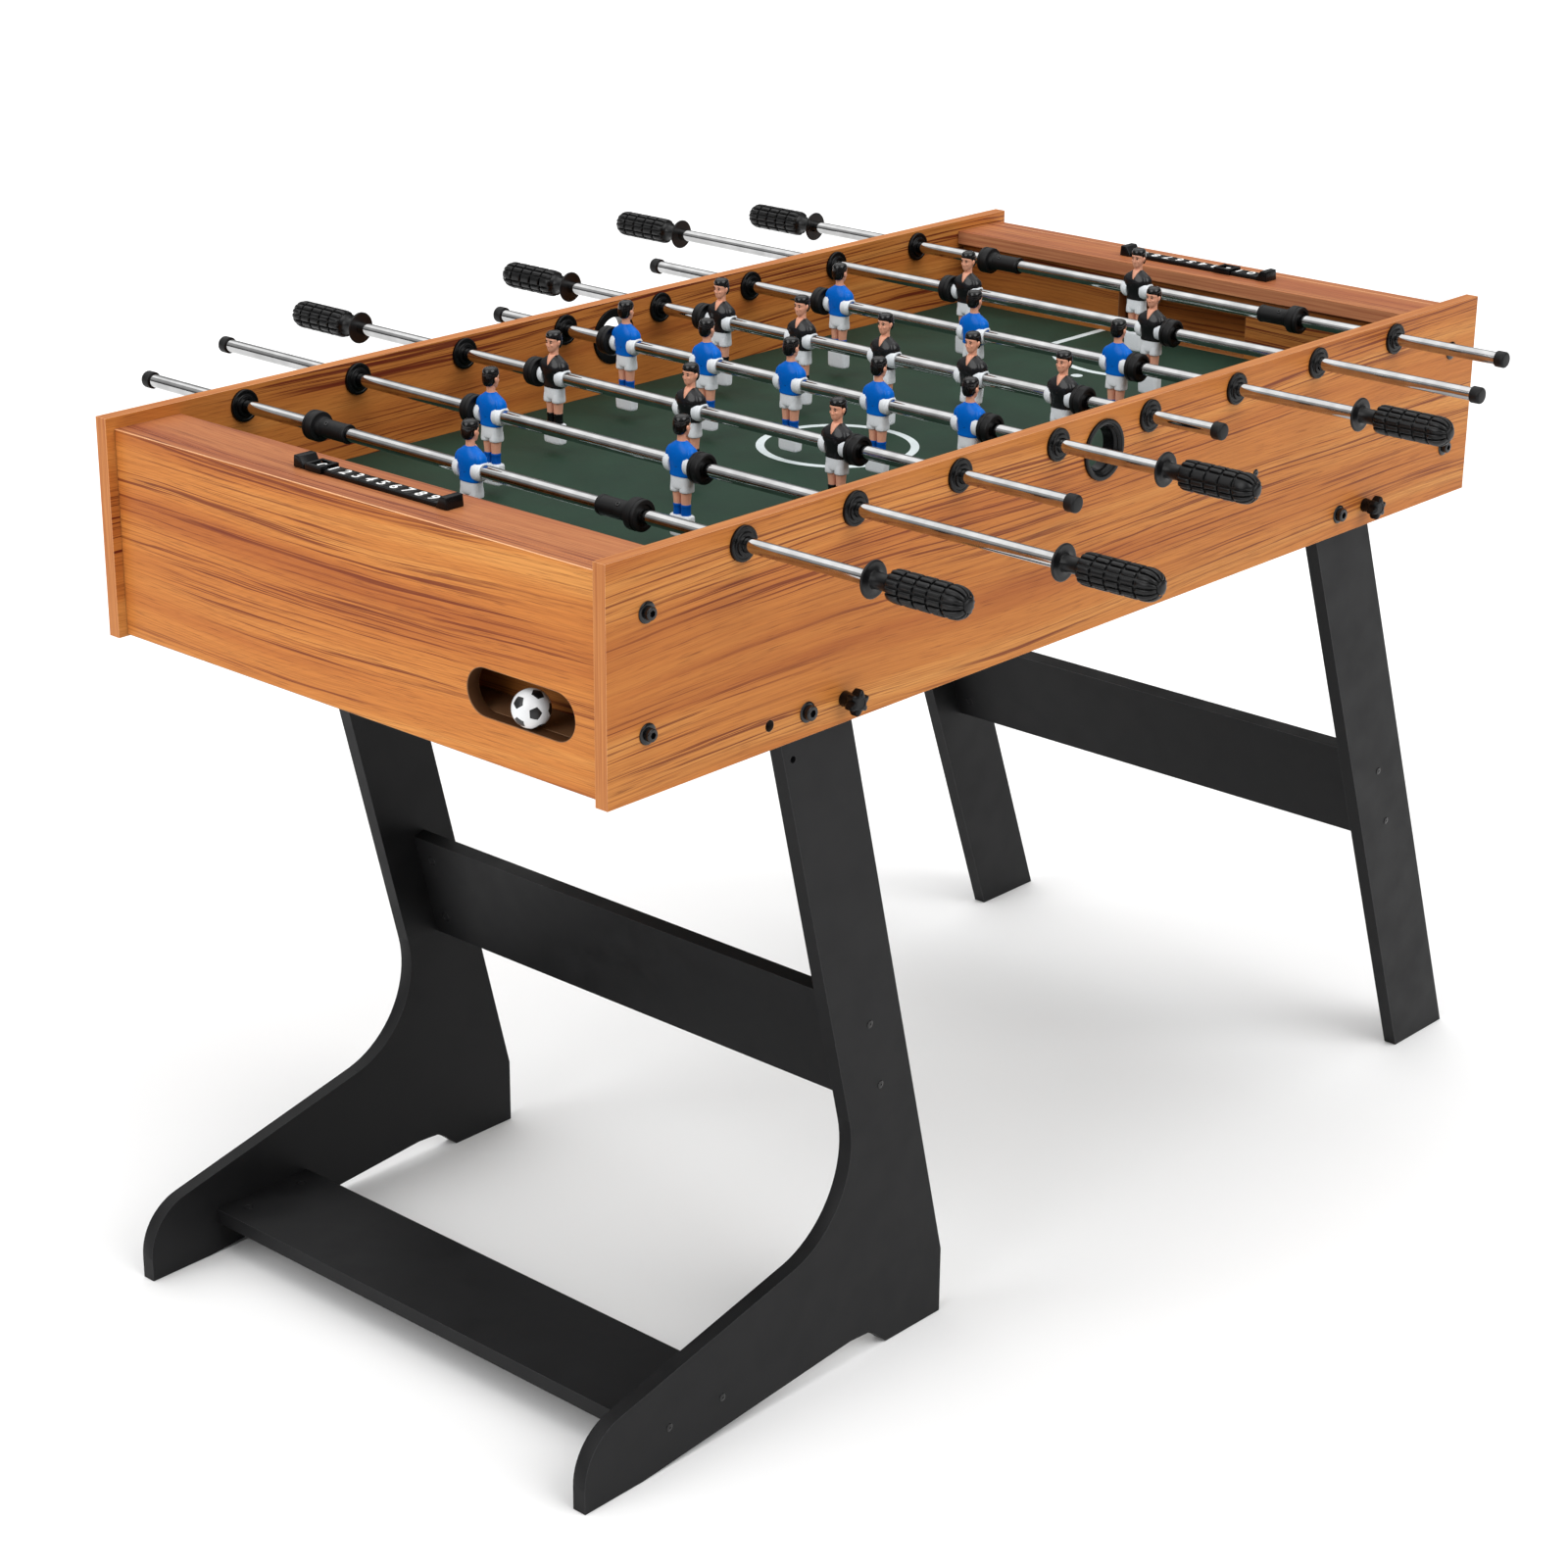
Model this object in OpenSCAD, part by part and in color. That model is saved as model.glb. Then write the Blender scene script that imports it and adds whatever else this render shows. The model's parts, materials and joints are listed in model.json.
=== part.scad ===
// Folding foosball table, set up for play.
// +X runs from the near (stand) end to the far end, +Y to the left, +Z up.
// The origin is on the floor under the middle of the whole object.

/* [Cabinet] */
// Length over the side panels
table_l = 1220; // [1215:1:1225]
// Width over the side panels
table_w = 610; // [600:2:620]
// Height of the side panels' top edge above the floor
table_h = 816; // [812:1:820]
// Height of a side panel
side_h = 196; // [194:1:198]
// Thickness of the side and end panels
panel_t = 13; // [12:0.5:13]
// How far an end panel is set in from the side panels' ends
end_inset = 9; // [6:1:12]
// Width of the flat top rail over each end box
rail_w = 58; // [56:1:60]
// Thickness of a top rail
rail_t = 14; // [12:1:14]
// Depth of the playfield's top face below the side panels' top edge
field_drop = 89; // [86:1:90]
// Thickness of the playfield
field_t = 9; // [6:1:9]

/* [Goals and ball return] */
// Width of a goal mouth
goal_w = 160; // [150:1:180]
// Height of a goal mouth above the playfield
goal_h = 43.5; // [40:0.5:48]
// Clear length of the trough between end panel and goal wall
trough_l = 36; // [35:0.5:37]
// Length of the ball slot in an end panel
slot_w = 120; // [100:1:130]
// Height of the ball slot
slot_h = 40; // [38:1:42]
// Distance of the ball slot's middle from the table's centre line
slot_y = 202; // [190:1:205]
// Diameter of the ball
ball_d = 32; // [30:0.5:32]

/* [Rods and men] */
// Diameter of a rod
rod_d = 12; // [11.5:0.5:12.5]
// Distance between neighbouring rods
rod_pitch = 131.5; // [130:0.5:132]
// Depth of the rods' axes below the side panels' top edge
rod_drop = 16.6; // [16.4:0.2:18]
// Diameter of a bush's flanges
bush_d = 29.5; // [28:0.5:32]
// Diameter of the stop bumpers
bumper_d = 27; // [24:1:30]
// Length of a bumper ring
bumper_l = 12; // [10:1:14]
// Length of a grip from its flange to its tip
grip_l = 94.5; // [90:0.5:98]
// Diameter of a grip
grip_d = 26.5; // [25:0.5:28]
// Width of a man over his hub
man_w = 33; // [31:1:34]
// Height of a man's head above the rod's axis
man_up = 42; // [40:1:43]
// Reach of a man's foot below the rod's axis
man_down = 63.5; // [62:0.5:63.5]

/* [Legs] */
// Thickness of the leg boards
leg_t = 14; // [13:0.5:14]
// Width of a leg
leg_w = 84; // [80:1:86]
// Distance of a leg's pivot from the end of the side panels
pivot_in = 227; // [225:1:228]
// Height of the pivots above the floor
pivot_z = 641; // [640:0.5:642]
// Lean of the stand's legs from upright
stand_lean = 14; // [13:0.5:14]
// Lean of the far legs from upright
far_lean = 20; // [18:0.5:21]
// Reach of the stand's toe beyond the side panels' ends
toe_out = 20.5; // [15:0.5:25]
// Width of the stretcher boards and of the foot board
stretcher_w = 110; // [100:1:115]

/* [Hidden] */
$fn = 48;

// Fits
run_gap = 0.05;      // radial gap of a running fit
bolt_gap = 0.2;      // radial gap of a bolt in its hole
side_gap = 1.6;      // gap between a leg and the side panel beside it
stack_gap = 0.3;     // gap between faces on different bodies
cut = 1;             // overrun of a cutting body

// Colours
wood = "#c8824b";
leg_black = "#37383a";
plastic_black = "#1c1c1e";
field_green = "#2a3e32";
steel = "#b9bcc0";
team_blue = "#1f5fbf";
team_black = "#242428";
ball_white = "#e8e8e6";

// Heights and lengths of the cabinet
half_w = table_w / 2;
wall_y = half_w - panel_t;
side_z = table_h - side_h;
field_z = table_h - field_drop;
rail_top = table_h - 10.5;
rail_z = rail_top - rail_t;
end_in_x = end_inset + panel_t;
wall_x = end_in_x + trough_l;
field_x = wall_x + panel_t;
block_y = wall_y - 20;
trough_t = 9;
slot_z = side_z + 59;
trough_z = slot_z - slot_h / 2 - trough_t;
batten_h = 15;

// Rods, listed from the near end: men on each, and the side its grip is on
men_on = [1, 2, 3, 5, 5, 3, 2, 1];
grip_side = [-1, -1, 1, -1, 1, -1, 1, 1];
rod_z = table_h - rod_drop;
bore_d = rod_d + 2 * run_gap;
hub_d = 17.5;
cap_l = 10;
cap_d = 15.5;
bush_flange = 3;
bush_barrel = 20;
bush_collar = 2;
stop_y = 187.5;      // inner face of a goalkeeper's stop ring
stop_sleeve = 36;    // length of the sleeve inside a stop ring
function rod_x(i) = table_l / 2 + (i - 4.5) * rod_pitch;
function man_pitch(n) = n == 2 ? 230 : n == 3 ? 171.5 : 104.5;
function cap_reach(n) = n == 2 ? 481.5 : n == 5 ? 385 : 428;
function grip_reach(n) = n == 2 ? 513.4 : n == 5 ? 417 : 436.5;

// Ball entry and score counters
cup_drop = 34.3;
cup_d = 42;
cup_ring = 55;
cup_hole = 38;
score_x = 47;
score_pitch = 15;
score_l = 10 * score_pitch + 7;
score_w = 16.5;
score_h = 4.5;
score_cap = [19, 14, 10.5];
slider_l = 20;

// Bolts, knobs and pivots
bolt_x = 43.6;
bolt_z = [table_h - 47, table_h - 144.4];
bolt_d = 6;
washer_d = 18;
washer_t = 1.5;
pivot_d = 8;
lock_r = 44.7;       // distance of a locking knob from its pivot
knob_d = 23;
stud_d = 6;
spare_hole_d = 10;   // open hole that takes a knob when the table is stowed
field_screw_x = 373;
field_screw_z = 711.6;

// Legs, drawn from their pivot
leg_y = wall_y - side_gap;
leg_margin = 21.5;   // from the pivot to the leg's front edge
leg_top = 24;        // from the pivot to the leg's top end
leg_round = 20;
stretcher_s = 364;   // distance of a stretcher's middle down the leg
stretcher_screw = 32.5;
stand_stretcher_n = 23;
far_stretcher_n = 20.5;
foot_board_x = 57;
foot_board_z = 31;
screw_d = 4;

// Foot of the stand
toe_r = 53;
toe_z = 22.2;
heel_z = 64;
foot_slope = 13.09;
foot_line_z = 68.96; // height of the foot's top line at the side panels' ends
foot_arc_r = 96;
toe_pad_x = 47;
heel_pad_x = 360;

// The origin is below the middle of the whole stance
far_foot_x = table_l - pivot_in + (leg_w - leg_margin) / cos(far_lean) + pivot_z * tan(far_lean);
mid_x = (far_foot_x - toe_out) / 2;

// Draws its children measured from the side panels' near ends
module table_frame() {
    translate([-mid_x, 0, 0]) children();
}

// Round bar along Y from y0 to y1
module bar_y(d, y0, y1) {
    translate([0, y1, 0]) rotate([90, 0, 0]) cylinder(d = d, h = y1 - y0);
}

// Copies of its children on both ends of the table, the far one turned half round
module both_ends() {
    children();
    translate([table_l, 0, 0]) rotate([0, 0, 180]) children();
}

// Copies of its children on both sides of the table
module both_sides() {
    children();
    mirror([0, 1, 0]) children();
}

// ---- Cabinet ----

module side_panel_solid() {
    difference() {
        translate([0, wall_y, side_z]) cube([table_l, panel_t, side_h]);
        for (i = [1 : 8])
            translate([rod_x(i), 0, rod_z]) bar_y(bush_barrel + 0.2, wall_y - cut, half_w + cut);
        translate([table_l / 2, 0, table_h - cup_drop]) bar_y(cup_d + 0.2, wall_y - cut, half_w + cut);
        for (x = [bolt_x, table_l - bolt_x], z = bolt_z)
            translate([x, 0, z]) bar_y(bolt_d + 2 * bolt_gap, wall_y - cut, half_w + cut);
        for (x = [pivot_in, table_l - pivot_in])
            translate([x, 0, pivot_z]) bar_y(pivot_d + 2 * bolt_gap, wall_y - cut, half_w + cut);
        for (x = [pivot_in + lock_r, table_l - pivot_in + lock_r])
            translate([x, 0, pivot_z]) bar_y(stud_d + 2 * run_gap, wall_y - cut, half_w + cut);
        translate([pivot_in - lock_r, 0, pivot_z]) bar_y(spare_hole_d, wall_y - cut, half_w + cut);
        for (x = [field_screw_x, table_l - field_screw_x])
            translate([x, 0, field_screw_z]) bar_y(screw_d + 2 * bolt_gap, wall_y - cut, half_w + cut);
    }
}

module side_panel_left() {
    color(wood) table_frame() side_panel_solid();
}

module side_panel_right() {
    color(wood) table_frame() mirror([0, 1, 0]) side_panel_solid();
}

// Rounded slot through an end panel, along Y
module slot_cut() {
    straight = (slot_w - slot_h) / 2;
    for (y = [-straight, straight])
        translate([0, y, 0]) rotate([0, 90, 0]) cylinder(d = slot_h, h = panel_t + 2 * cut);
    translate([0, -straight, -slot_h / 2]) cube([panel_t + 2 * cut, 2 * straight, slot_h]);
}

module end_panel_solid() {
    difference() {
        translate([end_inset, -wall_y, side_z + 1.6])
            cube([panel_t, 2 * wall_y, rail_top - side_z - 1.6]);
        translate([end_inset - cut, -slot_y, slot_z]) slot_cut();
    }
}

module end_panel_near() {
    color(wood) table_frame() end_panel_solid();
}

module end_panel_far() {
    color(wood) table_frame() translate([table_l, 0, 0]) rotate([0, 0, 180]) end_panel_solid();
}

module top_rails() {
    color(wood) table_frame() both_ends()
        translate([end_in_x, -wall_y, rail_z]) cube([rail_w, 2 * wall_y, rail_t]);
}

module goal_walls() {
    color(wood) table_frame() both_ends() difference() {
        translate([wall_x, -wall_y, trough_z]) cube([panel_t, 2 * wall_y, rail_z - trough_z]);
        translate([wall_x - cut, -goal_w / 2, field_z]) cube([panel_t + 2 * cut, goal_w, goal_h]);
    }
}

module ball_troughs() {
    color(wood) table_frame() both_ends()
        translate([end_in_x, -block_y, trough_z]) cube([trough_l, 2 * block_y, trough_t]);
}

module playfield() {
    color(field_green) table_frame() translate([field_x, -wall_y, field_z - field_t])
        cube([table_l - 2 * field_x, 2 * wall_y, field_t]);
}

// Battens under the playfield's long edges, and the blocks that take the end bolts
module inner_battens() {
    color(wood) table_frame() both_sides() {
        difference() {
            translate([field_x, wall_y - batten_h, field_z - field_t - batten_h])
                cube([table_l - 2 * field_x, batten_h, batten_h]);
            for (x = [field_screw_x, table_l - field_screw_x])
                translate([x, 0, field_screw_z]) bar_y(screw_d + 0.2, wall_y - 8, wall_y + cut);
        }
        both_block_ends();
    }
}

module both_block_ends() {
    for (x = [end_in_x, table_l - wall_x])
        difference() {
            translate([x, block_y, trough_z]) cube([trough_l, 20, rail_z - trough_z]);
            for (bx = [bolt_x, table_l - bolt_x], z = bolt_z)
                translate([bx, 0, z]) bar_y(bolt_d + 2 * bolt_gap, wall_y - 16, wall_y + cut);
        }
}

// One flanged bush through the left side panel
module bush() {
    difference() {
        union() {
            bar_y(bush_barrel, wall_y - bush_flange - bush_collar, half_w + bush_flange + bush_collar);
            bar_y(bush_d, wall_y - bush_flange, wall_y);
            bar_y(bush_d, half_w, half_w + bush_flange);
        }
        bar_y(bore_d, wall_y - 10, half_w + 10);
    }
}

module rod_bushes() {
    color(plastic_black) table_frame() both_sides()
        for (i = [1 : 8]) translate([rod_x(i), 0, rod_z]) bush();
}

module entry_cups() {
    color(plastic_black) table_frame() both_sides()
        translate([table_l / 2, 0, table_h - cup_drop]) difference() {
            union() {
                bar_y(cup_d, wall_y - 2, half_w + 3);
                bar_y(cup_ring, half_w, half_w + 3);
                bar_y(cup_ring, wall_y - 2, wall_y);
            }
            bar_y(cup_hole, wall_y - 10, half_w + 10);
            translate([0, half_w + 3 + cut, 0]) rotate([90, 0, 0])
                cylinder(d1 = cup_hole + 6, d2 = cup_hole, h = 6);
        }
}

module score_bars() {
    color(plastic_black) table_frame() both_ends() translate([score_x, 0, rail_top]) {
        translate([-score_w / 2, -score_l / 2, 0]) cube([score_w, score_l, score_h]);
        for (s = [-1, 1])
            translate([-score_cap[0] / 2, s * (score_l + score_cap[1]) / 2 - score_cap[1] / 2, 0]) cube(score_cap);
    }
}

// Sliding window of a score counter, at the given score
module score_slider(score) {
    wall = 1.4;
    inner_w = score_w + 2 * stack_gap;
    outer_w = inner_w + 2 * wall;
    top = score_h + stack_gap + 1.8;
    place_y = score_l / 2 - (score_l - 9 * score_pitch) / 2 - score * score_pitch;
    color("#2b2b2e") translate([score_x, place_y, rail_top]) difference() {
        translate([-outer_w / 2, -slider_l / 2, stack_gap]) cube([outer_w, slider_l, top - stack_gap]);
        translate([-inner_w / 2, -slider_l / 2 - cut, -cut])
            cube([inner_w, slider_l + 2 * cut, score_h + stack_gap + cut]);
        translate([-6.5, -6.5, score_h]) cube([13, 13, 10]);
    }
}

module score_slider_near() {
    table_frame() score_slider(0);
}

module score_slider_far() {
    table_frame() translate([table_l, 0, 0]) rotate([0, 0, 180]) score_slider(2);
}

// Washer, socket head and shank of a bolt entering the left side panel at Y = half_w
module socket_bolt(shank_d, head_d, head_h, inner_y) {
    bar_y(washer_d, half_w, half_w + washer_t);
    difference() {
        bar_y(head_d, half_w + washer_t, half_w + washer_t + head_h);
        translate([0, half_w + washer_t + head_h + cut, 0]) rotate([90, 0, 0])
            cylinder(d = head_d * 0.55, h = head_h * 0.6 + cut, $fn = 6);
    }
    bar_y(shank_d, inner_y, half_w + washer_t);
}

module cabinet_bolts() {
    nut_y = leg_y - leg_t - stack_gap;
    color(plastic_black) table_frame() both_sides() {
        for (x = [bolt_x, table_l - bolt_x], z = bolt_z)
            translate([x, 0, z]) socket_bolt(bolt_d, 11, 5, wall_y - 15);
        for (x = [pivot_in, table_l - pivot_in]) translate([x, 0, pivot_z]) {
            socket_bolt(pivot_d, 13, 5, nut_y - 8);
            bar_y(washer_d, wall_y - 1, wall_y);
            translate([0, nut_y, 0]) rotate([90, 0, 0]) cylinder(d = 15, h = 6.5, $fn = 6);
        }
        for (x = [field_screw_x, table_l - field_screw_x]) translate([x, 0, field_screw_z]) {
            bar_y(screw_d, wall_y - 7, half_w);
            bar_y(8, half_w, half_w + 1.2);
        }
    }
}

// Star knob on the left side panel, its stud reaching the panel's inner face
module knob() {
    lobe_d = 7.5;
    neck = 9;
    translate([0, half_w + stack_gap, 0]) {
        bar_y(14, 0, neck);
        bar_y(knob_d - 5, neck, neck + 10);
        for (a = [0 : 60 : 300])
            translate([(knob_d - lobe_d) / 2 * cos(a), 0, (knob_d - lobe_d) / 2 * sin(a)])
                bar_y(lobe_d, neck, neck + 10);
    }
    bar_y(stud_d, wall_y, half_w + 2);
}

module knob_at(x, side) {
    color(plastic_black) table_frame() mirror([0, side < 0 ? 1 : 0, 0])
        translate([x, 0, pivot_z]) knob();
}

module knob_near_right() {
    knob_at(pivot_in + lock_r, -1);
}

module knob_near_left() {
    knob_at(pivot_in + lock_r, 1);
}

module knob_far_right() {
    knob_at(table_l - pivot_in + lock_r, -1);
}

module knob_far_left() {
    knob_at(table_l - pivot_in + lock_r, 1);
}

// ---- Rods ----

// Draws its children with the rod's axis along Y and its grip towards -Y
module rod_frame(i) {
    table_frame() translate([rod_x(i), 0, rod_z]) mirror([0, grip_side[i - 1] > 0 ? 1 : 0, 0]) children();
}

module rod(i) {
    n = men_on[i - 1];
    color(steel) rod_frame(i) bar_y(rod_d, -grip_reach(n) - 70, cap_reach(n) - 3);
}

// Ribbed grip at one end of a rod and the rubber cap at the other
module grip(i) {
    n = men_on[i - 1];
    ring_from = 20.5;
    ring_l = 13.7;
    color(plastic_black) rod_frame(i) {
        translate([0, -grip_reach(n), 0]) rotate([90, 0, 0]) difference() {
            union() {
                cylinder(d = 30.5, h = 2.5);
                cylinder(d = 14, h = ring_from + cut);
                translate([0, 0, ring_from]) cylinder(d = grip_d, h = grip_l - ring_from - grip_d / 2);
                translate([0, 0, grip_l - grip_d / 2]) sphere(d = grip_d);
            }
            translate([0, 0, -cut]) cylinder(d = bore_d, h = 71 + cut);
            for (k = [1 : 4]) translate([0, 0, ring_from + k * ring_l - 0.75]) difference() {
                cylinder(d = grip_d + 2, h = 1.5);
                translate([0, 0, -cut]) cylinder(d = grip_d - 2.4, h = 1.5 + 2 * cut);
            }
        }
        translate([0, cap_reach(n) - cap_l, 0]) rotate([-90, 0, 0]) difference() {
            union() {
                cylinder(d = cap_d, h = cap_l - 3);
                translate([0, 0, cap_l - 3]) cylinder(d1 = cap_d, d2 = cap_d - 4, h = 3);
            }
            translate([0, 0, -cut]) cylinder(d = bore_d, h = cap_l - 3 + cut + run_gap);
        }
    }
}

// Upright block with half-round sides, w wide along Y and d deep along X
module body_block(w, d, z0, z1) {
    translate([0, 0, z0]) linear_extrude(z1 - z0) {
        for (y = [-1, 1]) translate([0, y * (w - d) / 2]) circle(d = d);
        square([d, w - d], center = true);
    }
}

module man() {
    shoulder = man_up - 24;
    foot_top = 19.5 - man_down;
    difference() {
        union() {
            bar_y(hub_d, -man_w / 2, man_w / 2);
            body_block(27, 15, -9.5, shoulder);
            translate([0, 0, shoulder - 1]) cylinder(d = 8, h = 8);
            translate([0, 0, man_up - 9]) sphere(d = 18);
            body_block(21, 13.5, -23.5, -9);
            body_block(18, 11, foot_top - 1, -23);
            translate([-5.5, -11.5, -man_down]) cube([11, 23, 19.5]);
        }
        bar_y(bore_d, -man_w, man_w);
    }
}

module men(i) {
    n = men_on[i - 1];
    color(grip_side[i - 1] < 0 ? team_blue : team_black) rod_frame(i)
        for (k = [0 : n - 1]) translate([0, (k - (n - 1) / 2) * man_pitch(n), 0]) man();
}

// Stop bumpers outside the outermost men, or a goalkeeper's stop collars
module bumpers(i) {
    n = men_on[i - 1];
    ring_y = n == 1 ? stop_y : (n - 1) / 2 * man_pitch(n) + man_w / 2 + stack_gap;
    color(plastic_black) rod_frame(i) both_sides() difference() {
        union() {
            bar_y(bumper_d, ring_y, ring_y + bumper_l);
            if (n == 1) bar_y(16.5, stop_y - stop_sleeve, stop_y + cut);
        }
        bar_y(bore_d, 0, half_w);
    }
}

module ball() {
    color(ball_white) table_frame()
        translate([ball_d / 2, -slot_y - 5, slot_z - slot_h / 2 + stack_gap + ball_d / 2]) sphere(d = ball_d);
}

// ---- Legs, in side view: X along the table, Y up, from the pivot ----

// Straight leg with a round top, leaning so that its foot goes towards +X
module leg_bar(lean) {
    rotate(lean) {
        translate([-leg_margin, -1200]) square([leg_w, 1200 + leg_top - leg_round]);
        translate([leg_round - leg_margin, 0]) square([leg_w - 2 * leg_round, leg_top]);
        for (x = [leg_round - leg_margin, leg_w - leg_margin - leg_round])
            translate([x, leg_top - leg_round]) circle(leg_round);
    }
}

// The part of its children that is at least z high above the floor
module above_floor(z) {
    intersection() {
        children();
        translate([-400, z - pivot_z]) square([1200, 1200]);
    }
}

// Point n across and s down a leg of the given lean
function on_leg(lean, n, s) = [n * cos(lean) + s * sin(lean), n * sin(lean) - s * cos(lean)];

// Meeting point of the stand leg's front edge and the foot's top line
front_x = pivot_in - leg_margin / cos(stand_lean) + pivot_z * tan(stand_lean);
crotch_x = (front_x - foot_line_z * tan(stand_lean)) / (1 + tan(foot_slope) * tan(stand_lean));
crotch = [crotch_x, foot_line_z + crotch_x * tan(foot_slope)];
heel_x = pivot_in + (leg_w - leg_margin) / cos(stand_lean) + (pivot_z - heel_z) * tan(stand_lean);

// Foot of a stand leg, measured from the side panels' near ends and the floor
module stand_foot() {
    nose = [toe_r - toe_out, toe_z];
    nose_top = nose + toe_r * [-sin(foot_slope), cos(foot_slope)];
    polygon([
        [-toe_out, 0], [toe_pad_x, 0], [311, 20.5], [335, 19], [343.4, 14.5], [heel_pad_x, 0],
        [heel_x, 0], [heel_x, heel_z], crotch, nose_top, nose, [-toe_out, toe_z]
    ]);
    intersection() {
        translate(nose) circle(toe_r);
        translate(nose - [toe_r, 0]) square(toe_r);
    }
    // Round blend between the foot's top line and the leg's front edge
    down = [-cos(foot_slope), -sin(foot_slope)];
    up = [-sin(stand_lean), cos(stand_lean)];
    corner = acos(down * up);
    reach = foot_arc_r / tan(corner / 2);
    centre = crotch + (down + up) / norm(down + up) * foot_arc_r / sin(corner / 2);
    difference() {
        polygon([crotch, crotch + reach * up, centre, crotch + reach * down]);
        translate(centre) circle(foot_arc_r);
    }
}

module stand_leg_solid() {
    linear_extrude(leg_t) difference() {
        union() {
            translate([pivot_in, pivot_z]) above_floor(heel_z) leg_bar(stand_lean);
            stand_foot();
        }
        translate([pivot_in, pivot_z]) {
            circle(d = pivot_d + 2 * run_gap);
            translate([lock_r, 0]) circle(d = stud_d + 2 * bolt_gap);
            translate([0, -lock_r]) circle(d = stud_d + 2 * bolt_gap);
            for (s = [-1, 1])
                translate(on_leg(stand_lean, stand_stretcher_n, stretcher_s + s * stretcher_screw))
                    circle(d = screw_d + 2 * bolt_gap);
        }
        for (s = [-1, 1])
            translate([foot_board_x + stretcher_w / 2 + s * stretcher_screw, foot_board_z + leg_t / 2])
                circle(d = screw_d + 2 * bolt_gap);
    }
}

module far_leg_solid() {
    linear_extrude(leg_t) difference() {
        above_floor(0) leg_bar(far_lean);
        circle(d = pivot_d + 2 * run_gap);
        translate([lock_r, 0]) circle(d = stud_d + 2 * bolt_gap);
        for (s = [-1, 1])
            translate(on_leg(far_lean, far_stretcher_n, stretcher_s + s * stretcher_screw))
                circle(d = screw_d + 2 * bolt_gap);
    }
}

// Stands a side view up with its outer face at Y = y
module stand_up(y) {
    translate([0, y, 0]) rotate([90, 0, 0]) children();
}

module stand_leg_right() {
    color(leg_black) table_frame() stand_up(leg_t - leg_y) stand_leg_solid();
}

module stand_leg_left() {
    color(leg_black) table_frame() stand_up(leg_y) stand_leg_solid();
}

module far_leg_right() {
    color(leg_black) table_frame() translate([table_l - pivot_in, 0, pivot_z])
        stand_up(leg_t - leg_y) far_leg_solid();
}

module far_leg_left() {
    color(leg_black) table_frame() translate([table_l - pivot_in, 0, pivot_z])
        stand_up(leg_y) far_leg_solid();
}

// Board between a pair of legs, in line with them, from their pivot
module stretcher(lean, n) {
    len = 2 * (leg_y - leg_t);
    at = on_leg(lean, n, stretcher_s);
    translate([at[0], 0, at[1]]) rotate([0, -lean, 0]) difference() {
        cube([leg_t, len, stretcher_w], center = true);
        for (z = [-stretcher_screw, stretcher_screw]) translate([0, 0, z]) both_sides()
            bar_y(screw_d + 0.2, len / 2 - 30, len / 2 + cut);
    }
}

// Board under the feet, its screw holes in both ends
module foot_board() {
    len = 2 * (leg_y - leg_t);
    translate([foot_board_x, -len / 2, foot_board_z]) difference() {
        cube([stretcher_w, len, leg_t]);
        for (x = [-stretcher_screw, stretcher_screw])
            translate([stretcher_w / 2 + x, len / 2, leg_t / 2]) both_sides()
                bar_y(screw_d + 0.2, len / 2 - 30, len / 2 + cut);
    }
}

module stand_boards() {
    color(leg_black) table_frame() {
        translate([pivot_in, 0, pivot_z]) stretcher(stand_lean, stand_stretcher_n);
        foot_board();
    }
}

module far_leg_board() {
    color(leg_black) table_frame() translate([table_l - pivot_in, 0, pivot_z])
        stretcher(far_lean, far_stretcher_n);
}

// Screw through the left leg into a board, its head proud of the leg
module leg_screw() {
    bar_y(screw_d, leg_y - leg_t - 26, leg_y);
    bar_y(7.5, leg_y, leg_y + 0.9);
}

module stand_screws() {
    color(plastic_black) table_frame() both_sides() for (s = [-1, 1]) {
        at = on_leg(stand_lean, stand_stretcher_n, stretcher_s + s * stretcher_screw);
        translate([pivot_in + at[0], 0, pivot_z + at[1]]) leg_screw();
        translate([foot_board_x + stretcher_w / 2 + s * stretcher_screw, 0, foot_board_z + leg_t / 2])
            leg_screw();
    }
}

module far_leg_screws() {
    color(plastic_black) table_frame() both_sides() for (s = [-1, 1]) {
        at = on_leg(far_lean, far_stretcher_n, stretcher_s + s * stretcher_screw);
        translate([table_l - pivot_in + at[0], 0, pivot_z + at[1]]) leg_screw();
    }
}

side_panel_right();
side_panel_left();
end_panel_near();
end_panel_far();
top_rails();
goal_walls();
ball_troughs();
playfield();
inner_battens();
rod_bushes();
entry_cups();
score_bars();
cabinet_bolts();
score_slider_near();
score_slider_far();
knob_near_right();
knob_near_left();
knob_far_right();
knob_far_left();
stand_leg_right();
stand_leg_left();
stand_boards();
stand_screws();
far_leg_right();
far_leg_left();
far_leg_board();
far_leg_screws();
ball();
for (i = [1 : 8]) {
    rod(i);
    grip(i);
    men(i);
    bumpers(i);
}
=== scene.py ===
import json
import math

import bmesh
import bpy
from mathutils import Matrix, Vector

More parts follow.
